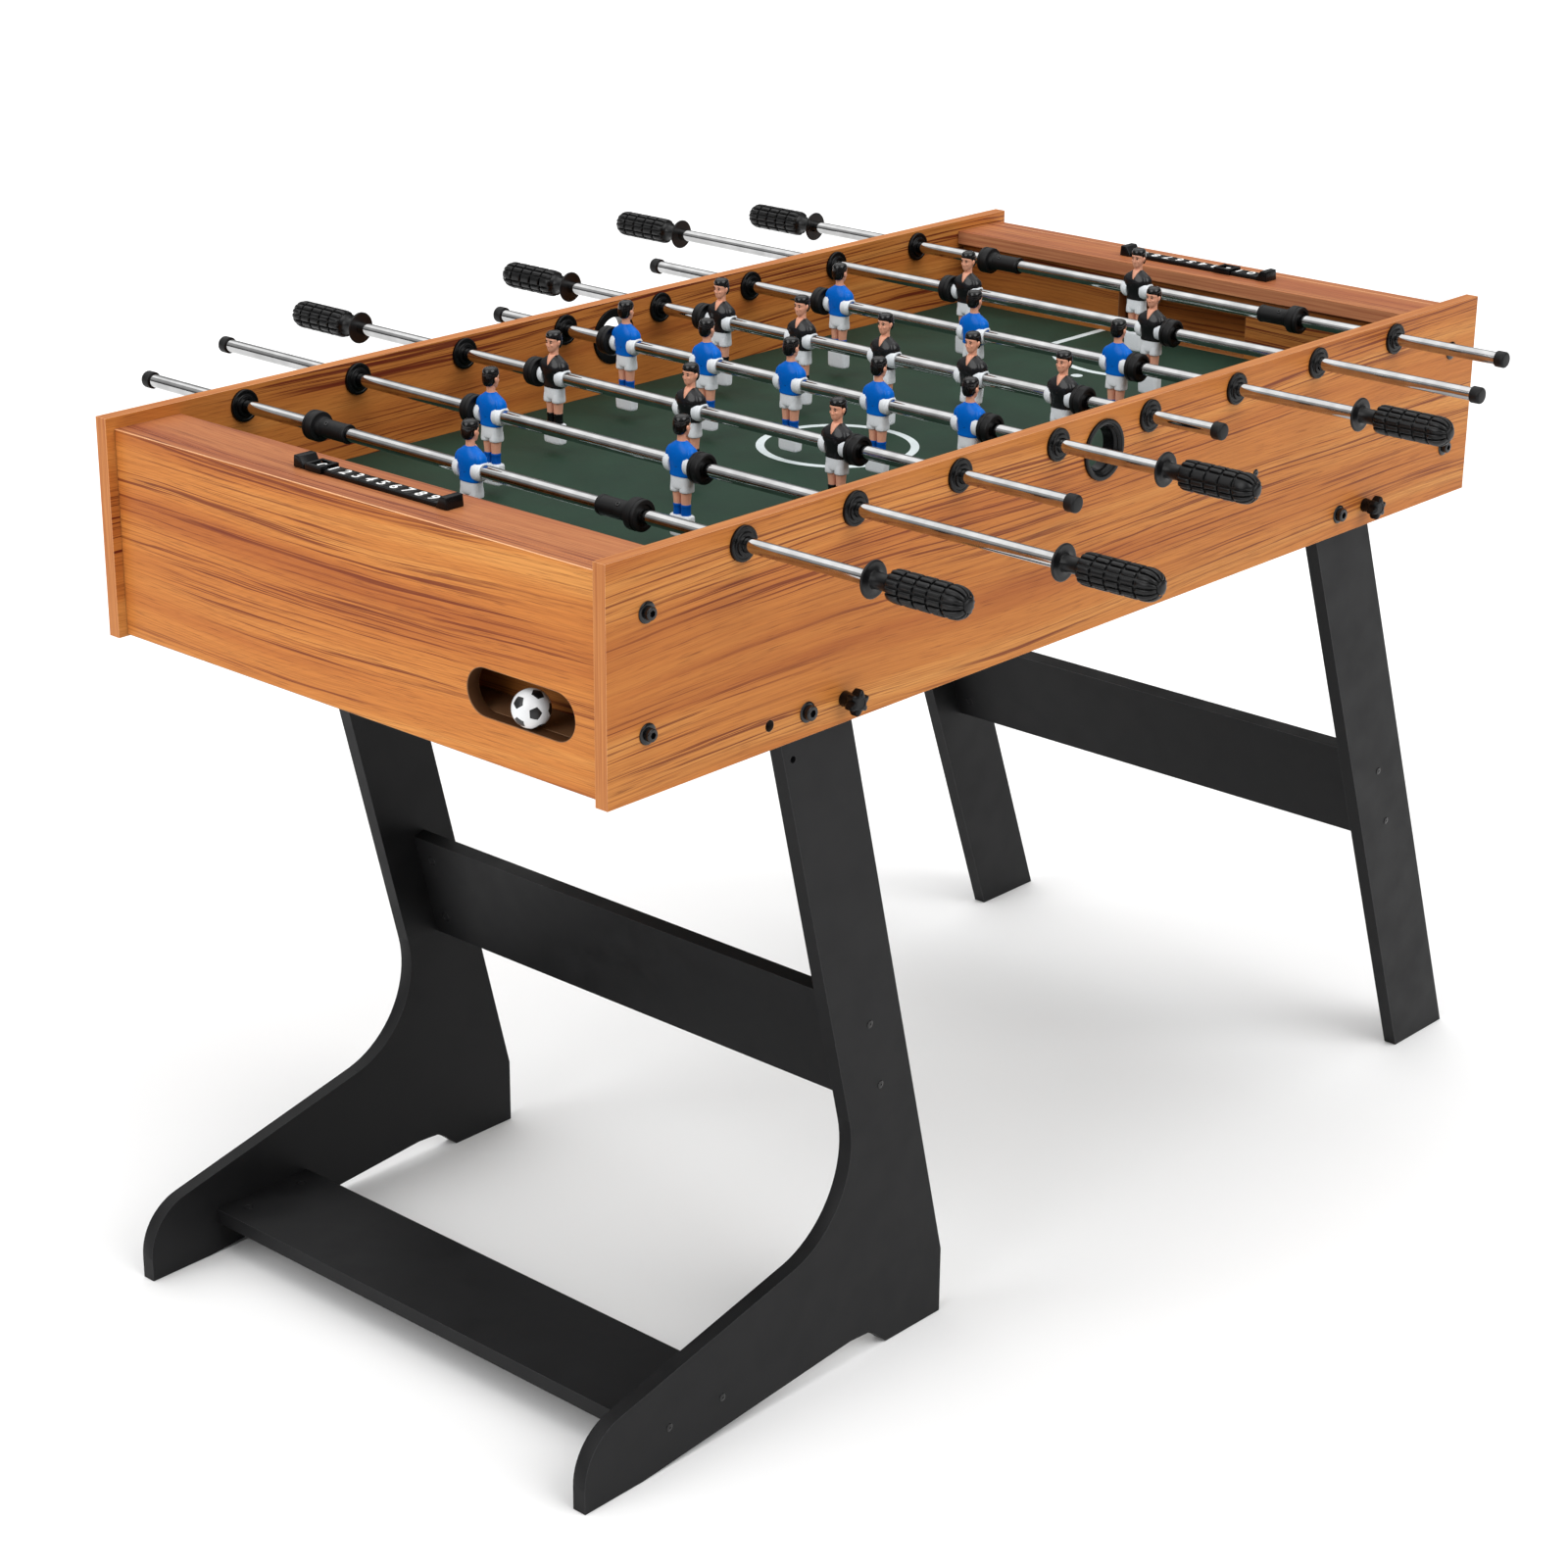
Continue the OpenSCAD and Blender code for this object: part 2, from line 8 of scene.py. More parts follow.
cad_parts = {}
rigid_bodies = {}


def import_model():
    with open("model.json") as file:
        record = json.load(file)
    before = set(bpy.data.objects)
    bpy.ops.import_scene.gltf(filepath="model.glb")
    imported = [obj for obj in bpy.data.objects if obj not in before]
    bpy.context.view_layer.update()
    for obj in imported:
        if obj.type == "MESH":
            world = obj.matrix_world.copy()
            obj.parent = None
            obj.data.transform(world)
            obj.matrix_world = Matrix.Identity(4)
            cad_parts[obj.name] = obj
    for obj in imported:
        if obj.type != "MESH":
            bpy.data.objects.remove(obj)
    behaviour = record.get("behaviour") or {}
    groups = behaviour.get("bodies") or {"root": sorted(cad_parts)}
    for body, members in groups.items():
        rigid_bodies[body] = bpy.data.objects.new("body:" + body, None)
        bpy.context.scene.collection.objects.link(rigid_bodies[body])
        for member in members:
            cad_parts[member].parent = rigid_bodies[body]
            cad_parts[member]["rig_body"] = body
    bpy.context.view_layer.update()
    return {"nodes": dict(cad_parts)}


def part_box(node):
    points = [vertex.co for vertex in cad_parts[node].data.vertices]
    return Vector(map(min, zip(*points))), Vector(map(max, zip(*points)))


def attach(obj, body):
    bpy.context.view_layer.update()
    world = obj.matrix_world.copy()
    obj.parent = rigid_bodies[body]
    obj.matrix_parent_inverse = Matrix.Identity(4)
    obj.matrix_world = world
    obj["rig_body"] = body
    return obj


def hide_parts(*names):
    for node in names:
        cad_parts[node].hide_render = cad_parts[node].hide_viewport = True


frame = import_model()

MM = 0.001
RODS = range(1, 9)
# Men on each rod, and the side that its grip is on: -1 is the right side (-Y), 1 the left
MEN_ON = {1: 1, 2: 2, 3: 3, 4: 5, 5: 5, 6: 3, 7: 2, 8: 1}
GRIP_SIDE = {1: -1, 2: -1, 3: 1, 4: -1, 5: 1, 6: -1, 7: 1, 8: 1}


# ---------------------------------------------------------------- node helpers

class Nodes:
    """The node tree of a material or a world, with short calls for the nodes that it needs."""

    def __init__(self, owner):
        owner.use_nodes = True
        self.owner = owner
        self.tree = owner.node_tree
        self.bsdf = self.tree.nodes.get("Principled BSDF")

    def add(self, kind, **values):
        node = self.tree.nodes.new(kind)
        for key, value in values.items():
            setattr(node, key, value)
        return node

    def link(self, source, target):
        self.tree.links.new(source, target)

    def put(self, target, value):
        """A socket's value: a number, a colour, or another node's output."""
        if hasattr(value, "is_output"):
            self.link(value, target)
        else:
            target.default_value = value

    def object_coords(self):
        return self.add("ShaderNodeTexCoord").outputs["Object"]

    def object_normal(self):
        return self.add("ShaderNodeTexCoord").outputs["Normal"]

    def split(self, vector):
        node = self.add("ShaderNodeSeparateXYZ")
        self.put(node.inputs[0], vector)
        return node.outputs

    def combine(self, x, y, z):
        node = self.add("ShaderNodeCombineXYZ")
        for socket, value in zip(node.inputs, (x, y, z)):
            self.put(socket, value)
        return node.outputs[0]

    def math(self, operation, a, b=0.0, clamp=False):
        node = self.add("ShaderNodeMath", operation=operation, use_clamp=clamp)
        for socket, value in zip(node.inputs, (a, b)):
            self.put(socket, value)
        return node.outputs[0]

    def times(self, a, b):
        return self.math("MULTIPLY", a, b)

    def noise(self, vector, scale, detail=2.0, rough=0.5):
        node = self.add("ShaderNodeTexNoise")
        self.put(node.inputs["Vector"], vector)
        self.put(node.inputs["Scale"], scale)
        self.put(node.inputs["Detail"], detail)
        self.put(node.inputs["Roughness"], rough)
        return node.outputs["Fac"]

    def ramp(self, value, *stops):
        """Colour or grey stops, each (position, value)."""
        node = self.add("ShaderNodeValToRGB")
        ramp = node.color_ramp
        while len(ramp.elements) < len(stops):
            ramp.elements.new(0.5)
        for element, (position, colour) in zip(ramp.elements, stops):
            element.position = position
            element.color = colour if hasattr(colour, "__len__") else (*[colour] * 3, 1)
        self.put(node.inputs["Fac"], value)
        return node.outputs["Color"]

    def map_range(self, value, a, b, c=0.0, d=1.0, smooth=False):
        node = self.add("ShaderNodeMapRange")
        if smooth:
            node.interpolation_type = "SMOOTHSTEP"
        for socket, number in zip(node.inputs, (value, a, b, c, d)):
            self.put(socket, number)
        return node.outputs[0]

    def mix(self, factor, a, b):
        node = self.add("ShaderNodeMix", data_type="RGBA")
        for index, value in ((0, factor), (6, a), (7, b)):
            self.put(node.inputs[index], value)
        return node.outputs[2]

    def bump(self, height, strength, distance):
        node = self.add("ShaderNodeBump")
        self.put(node.inputs["Strength"], strength)
        self.put(node.inputs["Distance"], distance)
        self.put(node.inputs["Height"], height)
        self.link(node.outputs["Normal"], self.bsdf.inputs["Normal"])

    def set(self, **values):
        """Sockets of the shader, by their name with _ for a space."""
        for key, value in values.items():
            self.put(self.bsdf.inputs[key.replace("_", " ")], value)
        return self.owner


def rgb(r, g, b):
    """A linear colour from screen values of 0 to 255."""
    def linear(c):
        c /= 255
        return c / 12.92 if c <= 0.04045 else ((c + 0.055) / 1.055) ** 2.4
    return (linear(r), linear(g), linear(b), 1.0)


# ---------------------------------------------------------------- materials

def wood(name, along, across, depth, seed, tone, figured, pink, cover, dark_below=None):
    """Printed wood laminate: soft bands of tan and orange, fine fibres, faint growth rings, and long
    thin dark streaks that come in drifts. along, across and depth are the axes of the grain, of the
    board's width and of its thickness. figured strengthens the streaks and rings, cover lets the
    drifts spread, and pink shifts the colour. The cut edges have plain banding, darkened under the
    height dark_below as painted shade down in the slot."""
    n = Nodes(bpy.data.materials.new(name))
    xyz = n.split(n.object_coords())
    run, wide, deep = xyz[along], xyz[across], xyz[depth]
    run = n.math("ADD", run, seed * 1.37)

    def field(along_scale, across_scale, offset, detail=2.0, rough=0.5):
        at = n.combine(n.times(run, along_scale), n.times(wide, across_scale), seed + offset)
        return n.noise(at, 1.0, detail, rough)

    def shade_of(r, g, b):
        return rgb(r * tone, (g + (r - g) * 0.06 * pink) * tone, (b + (r - b) * 0.22 * pink) * tone)

    # The grain wanders a little across the board
    sway = n.math("SUBTRACT", field(1.2, 3.0, 0.0, 1.0), 0.5)
    ripple = n.math("SUBTRACT", field(3.0, 34.0, 5.0, 3.0, 0.6), 0.5)
    moved = n.math("ADD", n.math("ADD", wide, n.times(sway, 0.06)), n.times(ripple, 0.008))

    def fibres(along_scale, across_scale, detail, rough):
        at = n.combine(n.times(run, along_scale), n.times(moved, across_scale),
                       n.times(deep, across_scale * 0.5))
        return n.noise(at, 1.0, detail, rough)

    # Rings about a trunk whose heart weaves along the board
    wander = n.noise(n.combine(n.times(run, 1.3), seed, 0.0), 1.0, 1.0, 0.5)
    centre = n.times(n.math("SUBTRACT", wander, 0.5), 0.42)
    lean = n.math("ADD", n.times(n.math("PINGPONG", run, 0.55), 0.13), deep)
    from_heart = n.math("POWER", n.math("SUBTRACT", moved, centre), 2.0)
    radius = n.math("SQRT", n.math("ADD", from_heart, n.math("POWER", lean, 2.0)))
    rings = n.times(radius, 210.0)
    uneven = n.noise(n.combine(rings, seed, 1.0), 0.30, 2.0, 0.6)
    phase = n.math("FRACT", n.math("ADD", rings, n.times(uneven, 2.6)))
    late = n.ramp(phase, (0.0, 0.05), (0.06, 0.0), (0.62, 0.0), (0.84, 0.55), (0.92, 1.0), (1.0, 0.05))

    # Long thin dark streaks, which come in drifts
    drift = n.map_range(field(1.5, 15.0, 9.0), 0.45 - cover, 0.58 - cover, smooth=True)
    streaks = n.map_range(fibres(3.2, 400.0, 3.0, 0.6), 0.51, 0.61, smooth=True)
    figure = n.times(streaks, drift)

    bands = fibres(0.9, 26.0, 3.0, 0.55)
    fibre = fibres(9.0, 900.0, 4.0, 0.6)
    pore = n.map_range(fibres(30.0, 1500.0, 2.0, 0.5), 0.60, 0.70)
    base = n.ramp(bands, (0.32, shade_of(176, 100, 46)), (0.46, shade_of(195, 120, 56)),
                  (0.56, shade_of(202, 129, 62)), (0.68, shade_of(216, 149, 78)))
    soft = n.mix(n.times(late, 0.14 * figured), base, shade_of(140, 72, 34))
    streak = n.mix(n.math("MULTIPLY", figure, 0.88 * figured, clamp=True), soft, shade_of(102, 36, 22))
    grained = n.mix(n.map_range(fibre, 0.40, 0.66, 0.0, 0.42), streak, shade_of(150, 82, 38))
    face = n.mix(n.times(pore, 0.55), grained, rgb(92, 42, 24))

    stripes = n.noise(n.combine(n.times(run, 9.0), n.times(wide, 9.0), n.times(deep, 620.0)),
                      1.0, 3.0, 0.6)
    band = n.mix(n.map_range(stripes, 0.3, 0.7), shade_of(210, 140, 80), shade_of(172, 100, 54))
    # Painted shade: the cut edges under dark_below, down in the slot, get a dark brown
    if dark_below is not None:
        band = n.mix(n.math("LESS_THAN", xyz[2], dark_below), band, rgb(74, 48, 30))
    facing = n.math("ABSOLUTE", n.split(n.object_normal())[depth])
    colour = n.mix(n.math("LESS_THAN", facing, 0.5), face, band)
    n.bump(fibre, 0.06, 0.4 * MM)
    return n.set(Base_Color=colour, Roughness=n.map_range(fibre, 0.2, 0.8, 0.32, 0.46),
                 Specular_IOR_Level=0.12)


def speckled(name, dark, light, scale, rough, bump, specular, metallic=0.0):
    """Moulded or coated surface: a faint mottle in colour and gloss, and a fine grain."""
    n = Nodes(bpy.data.materials.new(name))
    at = n.object_coords()
    fine = n.noise(at, scale, 3.0, 0.6)
    cloud = n.noise(at, scale * 0.02, 2.0, 0.5)
    blend = n.math("ADD", n.math("MULTIPLY", fine, 0.45), n.math("MULTIPLY", cloud, 0.55))
    colour = n.mix(n.map_range(blend, 0.35, 0.65), rgb(*dark), rgb(*light))
    n.bump(fine, bump, 0.3 * MM)
    return n.set(Base_Color=colour, Roughness=n.map_range(cloud, 0.3, 0.7, *rough),
                 Specular_IOR_Level=specular, Metallic=metallic)


def chrome(name):
    """Polished tube with faint drawing marks along it."""
    n = Nodes(bpy.data.materials.new(name))
    xyz = n.split(n.object_coords())
    marks = n.noise(n.combine(n.times(xyz[0], 2600.0), n.times(xyz[1], 8.0), n.times(xyz[2], 2600.0)),
                    1.0, 2.0, 0.6)
    haze = n.noise(n.object_coords(), 60.0, 2.0, 0.5)
    colour = n.mix(n.map_range(haze, 0.3, 0.7), rgb(172, 172, 172), rgb(194, 194, 194))
    n.bump(marks, 0.01, 0.05 * MM)
    rough = n.map_range(haze, 0.3, 0.7, 0.05, 0.10)
    return n.set(Base_Color=colour, Metallic=1.0, Roughness=rough)


# Dark and light screen colours, scale of the fine mottle, roughness range, bump, specular level
# and, for the bolts, how metallic they are
FINISHES = {
    # Painted highlight: a lighter colour on the eased edges of the wood boards
    "painted_highlight_wood_edge": ((214, 152, 104), (232, 182, 136), 500, (0.4, 0.5), 0.03, 0.5),
    # Painted shade: a darker colour on the eased edges down in the slot, the goal walls and the troughs
    "painted_shade_slot_edge": ((112, 76, 46), (136, 96, 60), 500, (0.5, 0.6), 0.03, 0.5),
    # Painted shade: a near-black colour on the walls inside the bores
    "painted_shade_bore_wall": ((34, 26, 20), (52, 38, 28), 500, (0.6, 0.7), 0.03, 0.5),
    # Painted highlight: a grey colour on the eased edges of the black legs and boards
    "painted_highlight_leg_edge": ((58, 58, 60), (76, 76, 78), 500, (0.45, 0.55), 0.05, 0.5),
    # Painted shade: a dark brown colour on the trough boards down inside the slot
    "painted_shade_trough_board": ((96, 66, 42), (120, 84, 54), 500, (0.5, 0.65), 0.06, 0.5),
    "raw_board": ((150, 118, 84), (178, 146, 108), 900, (0.6, 0.75), 0.1, 0.5),
    "leg_black": ((19, 19, 20), (25, 25, 26), 1500, (0.42, 0.55), 0.08, 0.16),
    "field_green": ((32, 52, 41), (40, 62, 49), 1200, (0.55, 0.65), 0.03, 0.12),
    "pitch_line": ((196, 206, 208), (212, 222, 222), 1500, (0.45, 0.55), 0.02, 0.2),
    "plastic_black": ((7, 7, 8), (13, 13, 14), 1800, (0.20, 0.30), 0.06, 0.18),
    "grip_black": ((8, 8, 9), (15, 15, 16), 1800, (0.26, 0.38), 0.12, 0.26),
    "rubber_black": ((10, 10, 11), (17, 17, 18), 1400, (0.38, 0.5), 0.12, 0.22),
    "bolt_black": ((10, 10, 11), (17, 17, 18), 1500, (0.14, 0.24), 0.06, 0.5, 0.2),
    "digit_white": ((230, 232, 232), (242, 242, 240), 1500, (0.4, 0.5), 0.02, 0.5),
    "shirt_blue": ((0, 92, 186), (2, 104, 202), 700, (0.18, 0.26), 0.03, 0.14),
    "sock_blue": ((1, 74, 162), (4, 86, 178), 700, (0.25, 0.35), 0.03, 0.14),
    "shirt_black": ((18, 18, 20), (28, 28, 30), 700, (0.16, 0.26), 0.04, 0.35),
    "kit_white": ((214, 219, 224), (228, 231, 234), 700, (0.25, 0.36), 0.03, 0.3),
    "skin": ((214, 150, 122), (228, 168, 140), 600, (0.32, 0.44), 0.03, 0.25),
    "hair_black": ((8, 8, 9), (16, 16, 17), 700, (0.10, 0.2), 0.06, 0.4),
    "ball_white": ((216, 218, 220), (230, 231, 232), 900, (0.3, 0.42), 0.04, 0.5),
    "ball_black": ((12, 12, 14), (22, 22, 24), 900, (0.3, 0.4), 0.04, 0.5),
}
X, Y, Z = range(3)
# Axes of the grain, of the width and of the thickness, then seed, tone, figured, pink and cover, and
# for the end panels the height that their cut edges are darkened under, as painted shade in the slot
WOODS = {
    "panel_wood": (X, Z, Y, 0.0, 0.93, 1.0, 0.0, 0.03),
    "panel_wood_left": (X, Z, Y, 8.0, 0.95, 1.25, 0.0, 0.07),
    "end_wood": (Y, Z, X, 2.0, 1.0, 1.0, 0.0, 0.04, 0.79),
    "rail_wood": (Y, X, Z, 4.0, 0.90, 0.9, 0.7, 0.02),
    "inner_wood": (Y, Z, X, 6.0, 0.86, 1.1, 0.0, 0.04),
}


def build_materials():
    """Every material, by its name."""
    materials = {name: wood(name, *settings) for name, settings in WOODS.items()}
    materials.update({name: speckled(name, *finish) for name, finish in FINISHES.items()})
    materials["rod_chrome"] = chrome("rod_chrome")
    return materials


M = build_materials()


# ---------------------------------------------------------------- mesh helpers


def stand_in(obj, node, body):
    """The piece rides on the body in place of the CAD node."""
    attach(obj, body)
    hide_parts(node)


def go_with(obj, body):
    """A further piece on the body."""
    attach(obj, body)


def finish_mesh(name, bm, materials, smooth_angle=35.0, flat_area=None):
    """A new object from a bmesh, in metres. With a flat_area, faces over it keep their flat
    shading, and so do the faces that look straight along an axis."""
    bmesh.ops.recalc_face_normals(bm, faces=bm.faces)
    mesh = bpy.data.meshes.new(name)
    bm.to_mesh(mesh)
    bm.free()
    for material in materials:
        mesh.materials.append(material)
    obj = bpy.data.objects.new(name, mesh)
    bpy.context.scene.collection.objects.link(obj)
    mesh.set_sharp_from_angle(angle=math.radians(smooth_angle))
    if flat_area is not None:
        for polygon in mesh.polygons:
            straight = max(abs(c) for c in polygon.normal) > 0.9999
            polygon.use_smooth = polygon.area < flat_area and not straight
    return obj


def bridge(bm, low, high, mat=0):
    """Faces between two closed rows of vertices. A row of one vertex is a pole."""
    count = max(len(low), len(high))
    for i in range(count):
        j = (i + 1) % count
        corners = (low[i % len(low)], low[j % len(low)], high[j % len(high)], high[i % len(high)])
        unique = list(dict.fromkeys(corners))
        if len(unique) > 2:
            bm.faces.new(unique).material_index = mat


def lathe(bm, profile, segments=48, mat=0, matrix=Matrix.Identity(4), close=False):
    """Turns a profile of (radius, height) points about Z. A radius of 0 closes an end."""
    rings = []
    for radius, height in profile:
        if radius <= 1e-9:
            rings.append([bm.verts.new(matrix @ Vector((0, 0, height)))])
        else:
            rings.append([
                bm.verts.new(matrix @ Vector((radius * math.cos(a), radius * math.sin(a), height)))
                for a in (2 * math.pi * i / segments for i in range(segments))
            ])
    pairs = list(zip(rings, rings[1:]))
    if close:
        pairs.append((rings[-1], rings[0]))
    for low, high in pairs:
        bridge(bm, low, high, mat)
    return rings


def prism(bm, points, low, high, matrix=Matrix.Identity(4)):
    """Upright solid over an outline, from height low to high."""
    bottom, top = ([bm.verts.new(matrix @ Vector((x, y, z))) for x, y in points] for z in (low, high))
    bm.faces.new(bottom[::-1])
    bm.faces.new(top)
    bridge(bm, bottom, top)


def arc(cx, cy, radius, start, end, steps):
    """Points of an arc, its angles in degrees."""
    return [(cx + radius * math.cos(math.radians(a)), cy + radius * math.sin(math.radians(a)))
            for a in (start + (end - start) * k / steps for k in range(steps + 1))]


# Turns the Z axis of a lathe to point along +Y, or along -Y
TO_LEFT = Matrix.Rotation(math.radians(-90), 4, "X")
TO_RIGHT = Matrix.Rotation(math.radians(90), 4, "X")


def toward(side):
    return TO_LEFT if side > 0 else TO_RIGHT


def at(x, y, z):
    return Matrix.Translation(Vector((x, y, z)))


def outward(side, x, z, y=0.0):
    """Frame in mm at a place, its Z pointing out to the side."""
    return at(x, y, z) @ toward(side) @ Matrix.Scale(MM, 4)


BORE_FACE = 80e-6       # in square metres: a facet of a bore's wall is smaller
FLAT_FACE = 300e-6      # a facet of a rounded corner is smaller


def sharp_edges(bm, degrees, length=0.0):
    """Edges that turn by more than degrees and are at least so long."""
    return [e for e in bm.edges if len(e.link_faces) == 2
            and e.calc_face_angle(0) > math.radians(degrees) and e.calc_length() >= length]


def bevelled(node, material, edge, width=0.5, segments=2, low_edge=None, split_z=0.0, wall=None,
             top=None):
    """Stands in for a CAD board: the same shape with its sharp edges eased by width, in mm. The
    eased corners have the edge material, on panels and legs a lighter painted highlight, or low_edge
    under the height split_z, a darker painted shade in the slot. wall is for the walls of bores along
    Y, whose faces are small, a dark painted shade in them, and top for upper faces over split_z."""
    source = frame["nodes"][node]
    bm = bmesh.new()
    bm.from_mesh(source.data)
    bmesh.ops.remove_doubles(bm, verts=bm.verts, dist=1e-5)
    bmesh.ops.dissolve_limit(bm, angle_limit=math.radians(0.5), verts=bm.verts, edges=bm.edges)
    for face in bm.faces:
        # Small faces of bore walls take the wall material: painted shade inside the bores
        if wall and abs(face.normal.y) < 0.5 and face.calc_area() < BORE_FACE:
            face.material_index = 2
        if top and face.normal.z > 0.9 and face.calc_center_median().z > split_z:
            face.material_index = 3
    eased = bmesh.ops.bevel(bm, geom=sharp_edges(bm, 40), offset=width * MM, segments=segments,
                            profile=0.5, affect="EDGES", clamp_overlap=True)["faces"]
    # Eased faces take the edge material, a painted highlight on panels and legs, or under split_z the
    # low_edge material, painted shade in the slot
    for face in eased:
        face.material_index = 2 if low_edge and face.calc_center_median().z < split_z else 1
    materials = [m for m in (material, edge, low_edge or wall, top) if m]
    obj = finish_mesh(node + "_board", bm, materials, 30, FLAT_FACE)
    stand_in(obj, node, source["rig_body"])


def repaint(node, material):
    """One material for a CAD node that is shown as it is."""
    obj = frame["nodes"][node]
    obj.data.materials.clear()
    obj.data.materials.append(material)


# ---------------------------------------------------------------- places, all from the frame

PANEL_LOW, PANEL_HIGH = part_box("side_panel_right")
LEFT_LOW, LEFT_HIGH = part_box("side_panel_left")
NEAR_X, FAR_X = PANEL_LOW.x, PANEL_HIGH.x
MIDDLE_X = (NEAR_X + FAR_X) / 2
OUTER_Y = LEFT_HIGH.y
WALL_Y = LEFT_LOW.y
FIELD_LOW, FIELD_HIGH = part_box("playfield")
MAN_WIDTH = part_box("men_1")[1].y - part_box("men_1")[0].y


def rod_axis(i):
    """The x and z of a rod."""
    low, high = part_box(f"rod_{i}")
    return (low.x + high.x) / 2, (low.z + high.z) / 2


# ---------------------------------------------------------------- cabinet boards

def build_boards():
    """Panels, rails, legs and the boards inside the cabinet."""
    slot_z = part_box("top_rails")[1].z - 5 * MM
    # Eased edges of panels and legs carry a painted highlight; bore walls, slot and goal wall edges and
    # the troughs carry painted shade
    bevelled("side_panel_right", M["panel_wood"], M["painted_highlight_wood_edge"], 0.6, wall=M["painted_shade_bore_wall"])
    bevelled("side_panel_left", M["panel_wood_left"], M["painted_highlight_wood_edge"], 0.6, wall=M["painted_shade_bore_wall"])
    for node in ("end_panel_near", "end_panel_far"):
        bevelled(node, M["end_wood"], M["painted_highlight_wood_edge"], 0.6, low_edge=M["painted_shade_slot_edge"],
                 split_z=slot_z, top=M["rail_wood"])
    bevelled("top_rails", M["rail_wood"], M["rail_wood"], 0.4)
    bevelled("goal_walls", M["inner_wood"], M["painted_shade_slot_edge"], 0.5)
    bevelled("ball_troughs", M["painted_shade_trough_board"], M["painted_shade_slot_edge"], 0.3)
    bevelled("playfield", M["field_green"], M["field_green"], 0.2)
    bevelled("inner_battens", M["raw_board"], M["raw_board"], 0.3)
    for node in ("stand_leg_right", "stand_leg_left", "far_leg_right", "far_leg_left"):
        bevelled(node, M["leg_black"], M["painted_highlight_leg_edge"], 0.8, 3)
    for node in ("stand_boards", "far_leg_board"):
        bevelled(node, M["leg_black"], M["painted_highlight_leg_edge"], 0.5)


def strip(bm, inner, outer, low, high):
    """A flat band between two matching rows of points, from height low to high."""
    rings = [[bm.verts.new((x, y, z)) for (x, y), z in ((a, low), (b, low), (b, high), (a, high))]
             for a, b in zip(inner, outer)]
    for near, far in zip(rings, rings[1:]):
        bridge(bm, near, far)
    for end in (rings[0], rings[-1]):
        bm.faces.new(end)


def build_pitch_lines():
    """Halfway line, centre circle and spot, and at each end the box, its arc and its spot."""
    width = 8 * MM
    base = FIELD_HIGH.z + 0.02 * MM
    top = FIELD_HIGH.z + 0.12 * MM
    circle_top = top + 0.02 * MM
    field_edge = FIELD_HIGH.y - 0.5 * MM
    circle_r = 76 * MM
    spot_r = 11 * MM
    # At the ends, all measured from the end of the side panels
    box_half = 103.5 * MM
    box_front = 196 * MM
    arc_centre = 131 * MM
    arc_r = 96 * MM
    end_spot = 246 * MM
    end_spot_r = 6 * MM
    bm = bmesh.new()

    def line(x0, y0, x1, y1):
        strip(bm, [(x0, y0), (x0, y1)], [(x1, y0), (x1, y1)], base, top)

    def disc(x, y, radius):
        prism(bm, arc(x, y, radius, 0, 350, 35), base, top)

    half_x = width / 2
    for side in (-1, 1):
        line(MIDDLE_X - half_x, side * field_edge, MIDDLE_X + half_x, side * (circle_r - half_x))
        line(MIDDLE_X - half_x, side * (circle_r - width), MIDDLE_X + half_x, side * (spot_r - 1 * MM))
    rings = [arc(MIDDLE_X, 0, radius, 0, 360, 96) for radius in (circle_r - width, circle_r)]
    strip(bm, *rings, base, circle_top)
    disc(MIDDLE_X, 0, spot_r)
    for sign, end_x, wall_x in ((1, NEAR_X, FIELD_LOW.x), (-1, FAR_X, FIELD_HIGH.x)):
        front = end_x + sign * box_front
        back = front - sign * width
        for side in (-1, 1):
            line(wall_x, side * box_half, back, side * (box_half - width))
        line(back, -box_half, front, box_half)
        arc_x = end_x + sign * arc_centre
        turn = 0 if sign > 0 else 180
        rings = []
        for radius in (arc_r - width, arc_r):
            half = math.degrees(math.acos(abs(front - arc_x) / radius))
            rings.append(arc(arc_x, 0, radius, turn - half, turn + half, 40))
        strip(bm, *rings, base, top)
        disc(end_x + sign * end_spot, 0, end_spot_r)
    lines = finish_mesh("pitch_lines", bm, [M["pitch_line"]])
    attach(lines, "cabinet")


# ---------------------------------------------------------------- bushes, cups and bolts

def build_bushes():
    """Flanged bushes, the same inside and outside of the panels."""
    bm = bmesh.new()
    outer = OUTER_Y / MM
    wall = WALL_Y / MM
    profile = [(6.12, wall - 4.2), (6.6, wall - 4.9), (8.6, wall - 4.9)]
    profile += arc(8.9, wall - 4.3, 0.6, -60, 0, 2) + [(9.6, wall - 3.6)]
    profile += [(9.8, wall - 3.1), (10.4, wall - 2.7), (11.8, wall - 2.7), (12.3, wall - 3.0)]
    profile += arc(13.6, wall - 1.9, 1.1, -90, 0, 4) + [(14.7, wall), (10.0, wall)]
    mirror_at = wall + outer
    profile += [(r, mirror_at - z) for r, z in reversed(profile)]
    for i in RODS:
        x, z = rod_axis(i)
        for side in (-1, 1):
            lathe(bm, profile, 56, 0, outward(side, x, z), close=True)
    obj = finish_mesh("rod_bush_mouldings", bm, [M["plastic_black"]], 28)
    stand_in(obj, "rod_bushes", "cabinet")


